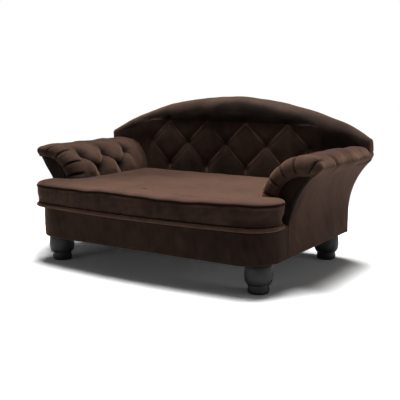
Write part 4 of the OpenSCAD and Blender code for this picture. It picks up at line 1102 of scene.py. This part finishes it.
def outer_back_face():
    """The outside of the back as a grid of rows: straight and swept sides up to the arms' rolls,
    then an arch under the crest. Beside the rolls its corners are drawn in, and it bellies out
    a little between its edges."""
    low_z = np.concatenate([np.linspace(BASE_LOW + 0.2, FLARE_Z, 24)[:-1],
                            np.linspace(FLARE_Z, LINING_TOP, 56)])
    low_w = flare_x(low_z)
    turn = np.linspace(0, 1, 14) * 1.35
    edge_z, edge_w = ROLL_TOP - ROLL_EDGE_R, ROLL_END - 0.5
    roll_z = np.concatenate([np.linspace(LINING_TOP, edge_z, 8)[1:-1], edge_z + ROLL_EDGE_R * np.sin(turn)])
    roll_w = np.concatenate([np.linspace(ROLL_END - EDGE_TUCK, edge_w, 8)[1:-1],
                             edge_w - ROLL_EDGE_R + ROLL_EDGE_R * np.cos(turn)])
    roll_w = roll_w - OUTER_CORNER_IN * smooth((roll_z - LINING_TOP) / 22.0)
    rows_z = np.concatenate([low_z, roll_z])
    rows_w = np.concatenate([low_w, roll_w])
    u = np.linspace(-1, 1, 200)
    x = rows_w[:, None] * u
    z = rows_z[:, None] + 0 * u
    t = np.linspace(0, 1, 30)[1:, None]
    last_w, last_z = rows_w[-1], rows_z[-1]
    tip = ROLL_X - 1.0
    arch_x = blend(last_w, tip, t) * u
    arch_top = np.maximum(seat_arch(np.clip(arch_x, -tip, tip)) - 2 * GAP, last_z + 0.2)
    x, z = np.concatenate([x, arch_x]), np.concatenate([z, last_z + (arch_top - last_z) * t])
    v = np.linspace(0, 1, len(x))[:, None]
    half_w, edge_in, edge_r = 340.0, 2.6, 7.0
    to_side = (1 - np.abs(u)) * half_w
    to_low = z - BASE_LOW
    inset = np.minimum(to_side, to_low)
    edge = edge_in * (1 - np.sqrt(1 - (1 - np.clip(inset / edge_r, 0, 1)) ** 2))
    belly = smooth(to_side / 90) * smooth(to_low / 60) * smooth((1 - v) * 6)
    slack = 1.0 + 0.8 * ripple(x, 0 * x, z, 130.0, 41) + 0.3 * ripple(x, 0 * x, z, 45.0, 42)
    return np.stack([x, OUTER_BACK - edge + belly * slack, z], -1)


# Seat cushion

# How many rows the cushion's base and band have, and where its lower cord lies
BASE_ROWS, BAND_ROWS = 6, 24
WELT_Z = SEAT_Z + 4.0


def cushion_plan(count=520):
    """The cushion's outline seen from above, evenly spaced and anticlockwise, with the outward
    direction: a bowed front between two ears with round corners, round inner corners behind the
    ears, straight sides between the arms and a straight back with small round corners."""
    ear, front_r, rear_r, back_r, neck_r, bow = EAR_HALF, 70.0, 25.0, 25.0, 12.0, 17.0
    bow_r = bow_radius(ear - front_r, bow)
    bow_y = bow_r - CUSHION_FRONT
    cx = ear - front_r
    cy = bow_y - math.sqrt((bow_r - front_r) ** 2 - cx ** 2)
    bow_a = math.asin(cx / (bow_r - front_r))

    def arc(x, y, r, start, stop, steps=40):
        """Points of a circle about x, y from one angle to another, in degrees."""
        a = np.radians(np.linspace(start, stop, steps))
        return np.stack([x + r * np.cos(a), y + r * np.sin(a)], -1)

    a = np.linspace(0, bow_a, 60)
    front = np.stack([bow_r * np.sin(a), bow_y - bow_r * np.cos(a)], -1)
    half = np.concatenate([
        front, arc(cx, cy, front_r, math.degrees(bow_a) - 90, 0)[1:],
        arc(ear - rear_r, EAR_REAR - rear_r, rear_r, 0, 90),
        arc(CUSHION_HALF + neck_r, neck_r + EAR_REAR, neck_r, 270, 180),
        arc(CUSHION_HALF - back_r, CUSHION_REAR - back_r, back_r, 0, 90),
        [[0.0, CUSHION_REAR]]])
    whole = np.concatenate([half, half[-2::-1] * [-1, 1]])
    step = np.hypot(*np.diff(whole, axis=0).T)
    at = np.concatenate([[0], np.cumsum(step)])
    keep = np.concatenate([[True], step > 1e-6])
    s = np.linspace(0, at[-1], count, endpoint=False)
    plan = np.stack([np.interp(s, at[keep], whole[keep, 0]), np.interp(s, at[keep], whole[keep, 1])], -1)
    run = np.roll(plan, -1, 0) - np.roll(plan, 1, 0)
    out = np.stack([run[:, 1], -run[:, 0]], -1) / np.hypot(*run.T)[:, None]
    return plan, out


def seam_rise(plan):
    """The wave of the upper seam: along the front it rises twice, left of the middle and at
    the right end, it sinks at the left end, and small random waves lie over it."""
    x, y = plan[:, 0], plan[:, 1]
    front = smooth((-y - 60) / 120)
    wave = front * (1.9 * np.cos(2 * math.pi * (x + 50.0) / 330.0) + 1.2)
    small = (0.4 + 0.4 * front) * ripple(x, y, 0 * x, 62.0, 60, 5)
    return wave + small - CUSHION_LEFT_SINK * smooth((-x - 245.0) / 90.0)


def cushion_rings():
    """The cushion as rings from its underside to the middle of its top: a flat base, a groove
    for each cord, a band that is drawn in between them, and a crown that rises fast at the seam
    and then lies almost level. Its middle is in front of the arms, from where the whole outline
    is in sight, so no ring crosses the outline."""
    plan, out = cushion_plan()
    rise = seam_rise(plan)
    low, top, crown_h = WELT_Z, CUSHION_TOP, 13.0
    t = np.linspace(0, 1, BAND_ROWS)
    band_in = blend(4.6, 2.2, smooth(t)) + 1.9 * np.sin(math.pi * t) ** 0.7 * (1.2 - 0.6 * t)
    band_z = blend(low + 4.2, top - 2.2, t)
    # Each ring by how far in it lies, its height, and its share of the seam's wave
    steps = [(22.0, SEAT_Z + 0.1, 0), (22.0, SEAT_Z + 0.1, 0), (14.0, SEAT_Z + 0.2, 0),
             (9.5, SEAT_Z + 1.2, 0), (8.4, low, 0), (7.0, low + 3.2, 0)]
    steps += [(i, z, k) for i, z, k in zip(band_in, band_z, t)]
    steps += [(3.4, top - 1.0, 1), (5.0, top, 1), (3.6, top + 0.8, 1), (2.6, top + 1.5, 1)]
    crown_in = 2.6 + np.array([0.1, 0.7, 2.0, 4.0, 6.8, 10.4, 14.8, 20.0])
    crown_z = top + 1.5 + np.array([1.3, 2.7, 4.2, 5.6, 6.8, 7.8, 8.6, 9.5])
    steps += [(i, z, 1) for i, z in zip(crown_in, crown_z)]
    rings = [np.stack([plan[:, 0] - out[:, 0] * i, plan[:, 1] - out[:, 1] * i, z + rise * k], -1)
             for i, z, k in steps]
    band_rings = rings[BASE_ROWS:BASE_ROWS + BAND_ROWS]
    bx, by, bz = np.moveaxis(np.stack(band_rings), -1, 0)
    middle = np.sin(math.pi * t)[:, None]
    low_slack = 1.1 * middle * ripple(bx, by, 0.6 * bz, 34.0, 55)
    slack = 0.9 * middle * ripple(bx, by, 1.8 * bz, 80.0, 53)
    px, py = plan.T
    ends = smooth((np.abs(px) - 235.0) / 60.0) * blend(0.35, 1.0, px > 0)
    ends = ends * (1 + 0.35 * ripple(px, py, 0 * rise, 40.0, 61))
    waist = bell(t - 0.3, 0.2)
    for k, ring in enumerate(band_rings):
        ring[:, :2] += out * (slack[k] + 0.45 * low_slack[k] - 2.3 * waist[k] * ends)[:, None]
    rim = rings[-1]
    centre = np.array([0.0, (EAR_REAR - CUSHION_FRONT) / 2, top + crown_h])
    low_centre = np.array([0.0, centre[1], SEAT_Z + 0.1])
    almost = 0.002
    rings[0] = low_centre + (rings[1] - low_centre) * almost
    for k in np.append(1 - np.linspace(0, 1, 46)[1:-1], almost):
        ring = centre + (rim - centre) * k
        ring[:, 2] = blend(centre[2], rim[:, 2], k ** 3)
        ring[:, 2] += 0.8 * ripple(ring[:, 0], ring[:, 1], 0 * ring[:, 0], 130.0, 54) * smooth((1 - k) * 6)
        rings.append(ring)
    return np.stack(rings)


def flat_for_zip(rings):
    """The rings with the cushion's rear face drawn flat just inside the zip's tape. The cloth
    round the tape meets it in a short slope."""
    low, high = span("zip_tape")
    slope_x, slope_z, reach, inside = 14.0, 5.0, 15.0, 0.4
    x, y, z = rings[..., 0], rings[..., 1], rings[..., 2]
    past_x = np.maximum(np.abs(x) - high[0], 0.0)
    past_z = np.maximum(np.abs(z - (low[2] + high[2]) / 2) - (high[2] - low[2]) / 2, 0.0)
    near = (1 - smooth(past_x / slope_x)) * (1 - smooth(past_z / slope_z)) * (y > CUSHION_REAR - reach)
    return np.stack([x, blend(y, low[1] + inside, near), z], -1)


def cushion_hold(count):
    """How firmly each of the cushion's rings is held while its cloth settles, from 0 to 1, and
    which rings are simulated. The base and the seam are held, the crown and the top half held."""
    held = np.zeros(count)
    seam = BASE_ROWS + BAND_ROWS
    held[:BASE_ROWS + 1], held[seam - 1:seam + 4] = 1.0, 1.0
    held[seam + 8:] = 0.5
    return held, np.concatenate([[1, 3, 5, 7], np.arange(9, 28, 3), [29, 31, 33], np.arange(35, 84, 3)])


def settled(rings, held, rows, pressure, spare, cap):
    """The rings after their cloth has settled round its filling. Every second point of the given
    rows makes a closed skin. Blender's Cloth swells it without gravity, with its cloth cut larger
    by spare and each row held by its share of held. Its moves are held under cap millimetres and
    spread over the rings in straight lines between the simulated points."""
    frames = 20
    coarse = rings[rows][:, ::2]
    piece = loft("cloth", coarse)
    mesh = piece.data
    hold = piece.vertex_groups.new(name="held")
    points = np.arange(coarse.shape[0] * coarse.shape[1]).reshape(coarse.shape[:2])
    for row, share in zip(points, held[rows]):
        hold.add(row.tolist(), float(share), "REPLACE")
    cloth = piece.modifiers.new("cloth", "CLOTH")
    feel = cloth.settings
    feel.quality = 6
    feel.mass = 0.3
    feel.tension_stiffness, feel.compression_stiffness = 20.0, 12.0
    feel.shear_stiffness, feel.bending_stiffness = 6.0, 0.6
    feel.use_pressure = True
    feel.uniform_pressure_force = pressure
    feel.shrink_min = -spare
    feel.vertex_group_mass = "held"
    feel.effector_weights.gravity = 0.0
    cloth.collision_settings.use_collision = False
    cloth.point_cache.frame_start, cloth.point_cache.frame_end = 1, frames
    scene = bpy.context.scene
    for step in range(1, frames + 1):
        scene.frame_set(step)
    done = piece.evaluated_get(bpy.context.evaluated_depsgraph_get()).data
    after = np.empty(3 * len(done.vertices), np.float32)
    done.vertices.foreach_get("co", after)
    moved = after.reshape(-1, 3)[:points.size].reshape(coarse.shape).astype(float) / MM - coarse
    bpy.data.objects.remove(piece)
    bpy.data.meshes.remove(mesh)
    scene.frame_set(1)
    far = np.linalg.norm(moved, axis=-1, keepdims=True)
    moved = moved * np.minimum(1.0, cap / np.maximum(far, 1e-6))
    to_rows = np.stack([np.interp(np.arange(len(rings)), rows, one) for one in np.eye(len(rows))], -1)
    moved = np.tensordot(to_rows, moved, 1)
    between = (moved + np.roll(moved, -1, 1)) / 2
    return rings + np.stack([moved, between], 2).reshape(rings.shape)


def cushion_nap_and_shading(x, y, z):
    """The cushion's nap and painted light: on top random patches of nap and a painted highlight that
    grows towards the front and the right, on the band random strokes of nap with a painted
    highlight just under the piping, and painted shade in the piping's seam and above the welt."""
    top = smooth((z - CUSHION_TOP + 0.5) / 3.0)
    patches = 0.6 * ripple(x, y, 0 * x, 110.0, 56) + 0.4 * ripple(0.5 * x, y, 0 * x, 34.0, 57)
    # A painted highlight on top, growing towards the front and the right
    front = smooth((0.9 * x - 0.8 * y + 210.0) / 320.0)
    strokes = 0.6 * ripple(x, y, 0.4 * z, 60.0, 58) + 0.4 * ripple(0.4 * x, 0.4 * y, z, 14.0, 59)
    seam = z - CUSHION_TOP - seam_rise(np.stack([x, y], -1))
    # A painted highlight just under the piping
    lip = 0.4 * bell(seam + 6.0, 2.2) * (1 + ripple(x, y, 0 * x, 70.0, 62))
    nap_and_shading = blend(-0.08 + 0.3 * strokes + lip, 1.15 * front - 0.15 + 0.13 * patches, top)
    # Painted shade in the piping's seam and in a line above the welt
    return nap_and_shading - 1.3 * bell(seam, 2.2) - 1.1 * bell(z - SEAT_Z - 9.5, 2.0)


def cord_rings(radius, inset, z, wave, sides=10):
    """A round cord of cloth along the cushion's outline: a circle of that radius at each point
    of it, set in by inset, at the height z and its wave."""
    plan, out = cushion_plan()
    a = np.linspace(0, 2 * math.pi, sides, endpoint=False)
    x, y = (plan[:, k:k + 1] - out[:, k:k + 1] * (inset - radius * np.cos(a)) for k in (0, 1))
    return np.stack([x, y, z + wave[:, None] + radius * np.sin(a)], -1)


# Stage

# The floor's half width, and how far it lies under the soles, in metres
FLOOR_HALF, FLOOR_DROP = 60.0, 0.0005

# Square lights: name, place, target and width in metres, and power in watts
LIGHTS = (("overhead", (0.05, 0.1, 2.6), (0.0, 0.0, 0.2), 1.3, 122.0),
          ("front_fill", (-1.2, -3.0, 0.4), (0.0, 0.0, 0.25), 1.2, 7.5),
          ("side_fill", (3.2, 0.5, 0.4), (0.0, 0.0, 0.25), 1.2, 13.5))

# The photograph's camera, fitted to points measured on it: place in metres, angles in degrees,
# and the sensor's width and the focal length in millimetres
CAMERA_PLACE, CAMERA_TURN, CAMERA_RISE = (1.0515, -1.5995, 0.4788), 32.64, 9.50
CAMERA_SENSOR, CAMERA_LENS = 36.0, 67.05


def floor_material():
    """A white floor that takes the sofa's shadow. As the camera, glossy and transmission rays see
    it, it is pale enough to be plain white outside the shadow, and farther out it is white."""
    made = bpy.data.materials.new("white_floor")
    made.use_nodes = True
    tree = made.node_tree
    tree.nodes.clear()
    out = add(tree, "ShaderNodeOutputMaterial")
    plain = add(tree, "ShaderNodeBsdfDiffuse", {"Color": grey(0.45)})
    pale = add(tree, "ShaderNodeBsdfDiffuse", {"Color": grey(1.5)})
    white = add(tree, "ShaderNodeEmission", {"Color": grey(1.0)})
    place = add(tree, "ShaderNodeTexCoord")
    far = add(tree, "ShaderNodeVectorMath", operation="LENGTH")
    span_far = add(tree, "ShaderNodeMapRange", {"From Min": 0.75, "From Max": 1.1})
    rays = add(tree, "ShaderNodeLightPath")
    seen = maths(tree, "MAXIMUM", maths(tree, "MAXIMUM", rays.outputs["Is Camera Ray"],
                                        rays.outputs["Is Glossy Ray"]), rays.outputs["Is Transmission Ray"])
    distant, direct = tree.nodes.new("ShaderNodeMixShader"), tree.nodes.new("ShaderNodeMixShader")
    join(tree,
         (place.outputs["Object"], far.inputs[0]),
         (far.outputs["Value"], span_far.inputs["Value"]),
         (span_far.outputs["Result"], distant.inputs[0]),
         (pale.outputs[0], distant.inputs[1]),
         (white.outputs[0], distant.inputs[2]),
         (seen, direct.inputs[0]),
         (plain.outputs[0], direct.inputs[1]),
         (distant.outputs[0], direct.inputs[2]),
         (direct.outputs[0], out.inputs["Surface"]))
    return made


def white_world(scene):
    """Plain white as seen, and a dimmer white as a light."""
    world = bpy.data.worlds.new("studio")
    scene.world = world
    world.use_nodes = True
    tree = world.node_tree
    tree.nodes.clear()
    out = add(tree, "ShaderNodeOutputWorld")
    light = add(tree, "ShaderNodeBackground", {"Strength": 0.04})
    seen = add(tree, "ShaderNodeBackground", {"Strength": 1.0})
    for shade in (light, seen):
        shade.inputs["Color"].default_value = grey(1.0)
    rays = add(tree, "ShaderNodeLightPath")
    direct = maths(tree, "MAXIMUM", rays.outputs["Is Camera Ray"], rays.outputs["Is Transmission Ray"])
    mix = add(tree, "ShaderNodeMixShader")
    join(tree,
         (direct, mix.inputs[0]),
         (light.outputs[0], mix.inputs[1]),
         (seen.outputs[0], mix.inputs[2]),
         (mix.outputs[0], out.inputs["Surface"]))


def area_light(name, place, target, size, power):
    """A square area light at place that faces target, in metres and watts."""
    lamp = bpy.data.lights.new(name, "AREA")
    lamp.size = size
    lamp.energy = power
    made = bpy.data.objects.new(name, lamp)
    made.location = place
    made.rotation_mode = "QUATERNION"
    made.rotation_quaternion = (Vector(target) - Vector(place)).to_track_quat("-Z", "Y")
    bpy.context.scene.collection.objects.link(made)


def photo_camera(scene):
    """The camera at the photograph's angle, distance and focal length."""
    lens = bpy.data.cameras.new("photo_camera")
    lens.sensor_width = CAMERA_SENSOR
    lens.lens = CAMERA_LENS
    lens.clip_start, lens.clip_end = 0.05, 200.0
    camera = bpy.data.objects.new("photo_camera", lens)
    turn, rise = math.radians(CAMERA_TURN), math.radians(CAMERA_RISE)
    back = Vector((math.sin(turn) * math.cos(rise), -math.cos(turn) * math.cos(rise), math.sin(rise)))
    camera.location = CAMERA_PLACE
    camera.rotation_mode = "QUATERNION"
    camera.rotation_quaternion = (-back).to_track_quat("-Z", "Y")
    scene.collection.objects.link(camera)
    scene.camera = camera
    scene.view_settings.view_transform = "Standard"


# Values that a user would change

class SofaSizes(bpy.types.PropertyGroup):
    """Depths of the tufts and gathers, and the cords' sizes"""
    arm_tuft_depth: bpy.props.FloatProperty(
        name="Arm tuft depth", description="Depth of the folds in the arm pads",
        default=0.016, min=0.004, max=0.02, unit="LENGTH")
    back_tuft_depth: bpy.props.FloatProperty(
        name="Back tuft depth", description="Depth of the folds in the back",
        default=0.009, min=0.004, max=0.02, unit="LENGTH")
    gather_depth: bpy.props.FloatProperty(
        name="Gather depth", description="Depth of the gathers on the front edge of the arm pads",
        default=0.0045, min=0.0, max=0.007, unit="LENGTH")
    welt_radius: bpy.props.FloatProperty(
        name="Welt radius", description="Radius of the lower cord of the cushion",
        default=0.0045, min=0.002, max=0.006, unit="LENGTH")
    piping_radius: bpy.props.FloatProperty(
        name="Piping radius", description="Radius of the upper cord of the cushion",
        default=0.0025, min=0.001, max=0.004, unit="LENGTH")


class SofaColours(bpy.types.PropertyGroup):
    """Colours of the velvet and the feet, and how the velvet looks"""
    velvet_pile: bpy.props.FloatVectorProperty(
        name="Velvet pile", description="Colour deep in the velvet's pile", subtype="COLOR",
        default=(0.020, 0.0102, 0.0070), min=0.0, max=1.0)
    # The brushed colour is also the colour of the painted highlights
    velvet_brushed: bpy.props.FloatVectorProperty(
        name="Brushed velvet", description="Colour where the nap is brushed up", subtype="COLOR",
        default=(0.083, 0.0445, 0.031), min=0.0, max=1.0)
    sheen: bpy.props.FloatVectorProperty(
        name="Sheen", description="Colour of the light on the velvet's edges", subtype="COLOR",
        default=(0.70, 0.40, 0.28), min=0.0, max=1.0)
    sheen_amount: bpy.props.FloatProperty(
        name="Sheen amount", description="Strength of the light on the velvet's edges",
        default=0.45, min=0.0, max=1.0, subtype="FACTOR")
    sheen_roughness: bpy.props.FloatProperty(
        name="Sheen roughness", description="How broad the velvet's edge light is",
        default=0.42, min=0.0, max=1.0, subtype="FACTOR")
    fibre_size: bpy.props.FloatProperty(
        name="Fibre size", description="Size of the grain in the pile",
        default=0.0009, min=0.0003, max=0.003, unit="LENGTH")
    foot: bpy.props.FloatVectorProperty(
        name="Feet", description="Colour of the lacquer on the feet", subtype="COLOR",
        default=(0.0115, 0.0119, 0.0108), min=0.0, max=1.0)


# One operator for each piece or group of like pieces

class MakeFeet(bpy.types.Operator):
    """Turn the four feet"""
    bl_idname = "sofa.feet"
    bl_label = "Feet"

    def execute(self, context):
        for name, (x, y) in FEET.items():
            piece = loft("turned_" + name, foot_points(x, y))
            finish_piece(piece, "root", [name], material("turned_wood"))
        return {"FINISHED"}


class MakeFrontBand(bpy.types.Operator):
    """Cover the base's front and corners"""
    bl_idname = "sofa.front_band"
    bl_label = "Front band"

    def execute(self, context):
        piece = loft("front_band", band_rings(), flip=True)
        keep_nap_and_shading(piece, band_nap_and_shading(*places(piece)))
        finish_piece(piece, "root", ["front_band_cover"], material("velvet"))
        return {"FINISHED"}


class MakeArmPads(bpy.types.Operator):
    """Pad and tuft the arms"""
    bl_idname = "sofa.arm_pads"
    bl_label = "Arm pads"

    def execute(self, context):
        for side, word in ARMS:
            rings, nap_and_shading = arm_pad_rings(side)
            piece = loft("tufted_arm_" + word, rings, flip=side > 0)
            keep_nap_and_shading(piece, nap_and_shading)
            finish_piece(piece, "root", ["arm_pad_" + word], material("velvet"))
        return {"FINISHED"}


class MakeArmFacings(bpy.types.Operator):
    """Cover the arms' flat fronts"""
    bl_idname = "sofa.arm_facings"
    bl_label = "Arm facings"

    def execute(self, context):
        for side, word in ARMS:
            piece = loft("facing_" + word, facing_rings(side), flip=side < 0)
            keep_nap_and_shading(piece, facing_nap_and_shading(*places(piece)))
            finish_piece(piece, "root", ["arm_facing_" + word], material("velvet"))
        return {"FINISHED"}


class MakeArmSides(bpy.types.Operator):
    """Cover the arms' swept outer sides"""
    bl_idname = "sofa.arm_sides"
    bl_label = "Arm sides"

    def execute(self, context):
        for side, word in ARMS:
            piece = loft("outer_arm_" + word, side_rings(side), flip=side < 0)
            keep_nap_and_shading(piece, side_nap_and_shading(*places(piece)))
            finish_piece(piece, "root", ["arm_outer_cover_" + word], material("velvet"))
        return {"FINISHED"}


class MakeBack(bpy.types.Operator):
    """Pad and tuft the back and its crest"""
    bl_idname = "sofa.back"
    bl_label = "Tufted back"

    def execute(self, context):
        rings, nap_and_shading = back_cover_rings()
        piece = loft("tufted_back", rings)
        keep_nap_and_shading(piece, nap_and_shading)
        finish_piece(piece, "root", ["back_pad", "crest_roll"], material("back_velvet"))
        return {"FINISHED"}


class MakeOuterBack(bpy.types.Operator):
    """Cover the outside of the back"""
    bl_idname = "sofa.outer_back"
    bl_label = "Outer back"

    def execute(self, context):
        face = outer_back_face()[:, ::-1]
        piece = panel_piece("outer_back", face, (0, -2.0, 0))
        finish_piece(piece, "root", ["back_outer_cover"], material("velvet"))
        return {"FINISHED"}


class MakeCushion(bpy.types.Operator):
    """Fill the seat cushion and sew its cords"""
    bl_idname = "sofa.cushion"
    bl_label = "Seat cushion"

    def execute(self, context):
        size = context.scene.sofa_sizes
        rings = cushion_rings()
        rings = settled(rings, *cushion_hold(len(rings)), pressure=4.0, spare=0.006, cap=5.0)
        piece = loft("seat_cushion_cover", flat_for_zip(rings))
        keep_nap_and_shading(piece, cushion_nap_and_shading(*places(piece)))
        finish_piece(piece, "cushion", ["seat_cushion"], material("velvet"))
        plan, _ = cushion_plan()
        droop = -WELT_LEFT_SINK * smooth((-plan[:, 0] - 300.0) / 50.0)
        welt = loft("welt", cord_rings(size.welt_radius / MM, 4.0, WELT_Z, droop), closed=True)
        # The welt gets a painted highlight over its whole length
        keep_nap_and_shading(welt, np.full(len(welt.data.vertices), 0.7))
        finish_piece(welt, "cushion", ["lower_welt"], material("velvet"))
        piping = loft("piping", cord_rings(size.piping_radius / MM, 3.2, CUSHION_TOP, seam_rise(plan)),
                      closed=True)
        finish_piece(piping, "cushion", ["upper_piping"], material("dark_cord"))
        return {"FINISHED"}


class FinishFrame(bpy.types.Operator):
    """Give the wood, cloth and metal of the frame their finishes"""
    bl_idname = "sofa.frame"
    bl_label = "Frame finishes"

    def execute(self, context):
        slots = {row["node"]: row["material_slot"] for row in frame["record"]["subparts"]}
        for name, node in frame["nodes"].items():
            node.data.materials.clear()
            node.data.materials.append(material(slots[name]))
        return {"FINISHED"}


class MakeStage(bpy.types.Operator):
    """Set the floor, the lights and the camera"""
    bl_idname = "sofa.stage"
    bl_label = "Stage"

    def execute(self, context):
        scene = context.scene
        floor = bpy.data.meshes.new("floor")
        r, z = FLOOR_HALF, -FLOOR_DROP
        floor.from_pydata([(-r, -r, z), (r, -r, z), (r, r, z), (-r, r, z)], [], [(0, 1, 2, 3)])
        ground = bpy.data.objects.new("floor", floor)
        scene.collection.objects.link(ground)
        floor.materials.append(floor_material())
        white_world(scene)
        for light in LIGHTS:
            area_light(*light)
        photo_camera(scene)
        return {"FINISHED"}


OPERATORS = (FinishFrame, MakeFeet, MakeFrontBand, MakeArmPads, MakeArmFacings, MakeArmSides, MakeBack,
             MakeOuterBack, MakeCushion, MakeStage)


class SofaPanel(bpy.types.Panel):
    """The sofa's sizes, colours and pieces"""
    bl_idname = "VIEW3D_PT_sofa"
    bl_label = "Dog Sofa Bed"
    bl_space_type = "VIEW_3D"
    bl_region_type = "UI"
    bl_category = "Sofa"

    def draw(self, context):
        for values in (context.scene.sofa_sizes, context.scene.sofa_colours):
            for name in values.__annotations__:
                self.layout.prop(values, name)
        for operator in OPERATORS:
            self.layout.operator(operator.bl_idname)


def register():
    """Adds the classes, and the values to the scene."""
    for made in (SofaSizes, SofaColours, *OPERATORS, SofaPanel):
        bpy.utils.register_class(made)
    bpy.types.Scene.sofa_sizes = bpy.props.PointerProperty(type=SofaSizes)
    bpy.types.Scene.sofa_colours = bpy.props.PointerProperty(type=SofaColours)


def unregister():
    """Takes the values and the classes away again."""
    del bpy.types.Scene.sofa_colours
    del bpy.types.Scene.sofa_sizes
    for made in (SofaPanel, *reversed(OPERATORS), SofaColours, SofaSizes):
        bpy.utils.unregister_class(made)


def main():
    register()
    for operator in OPERATORS:
        group_name, action = operator.bl_idname.split(".")
        getattr(getattr(bpy.ops, group_name), action)()


if __name__ == "__main__":
    main()
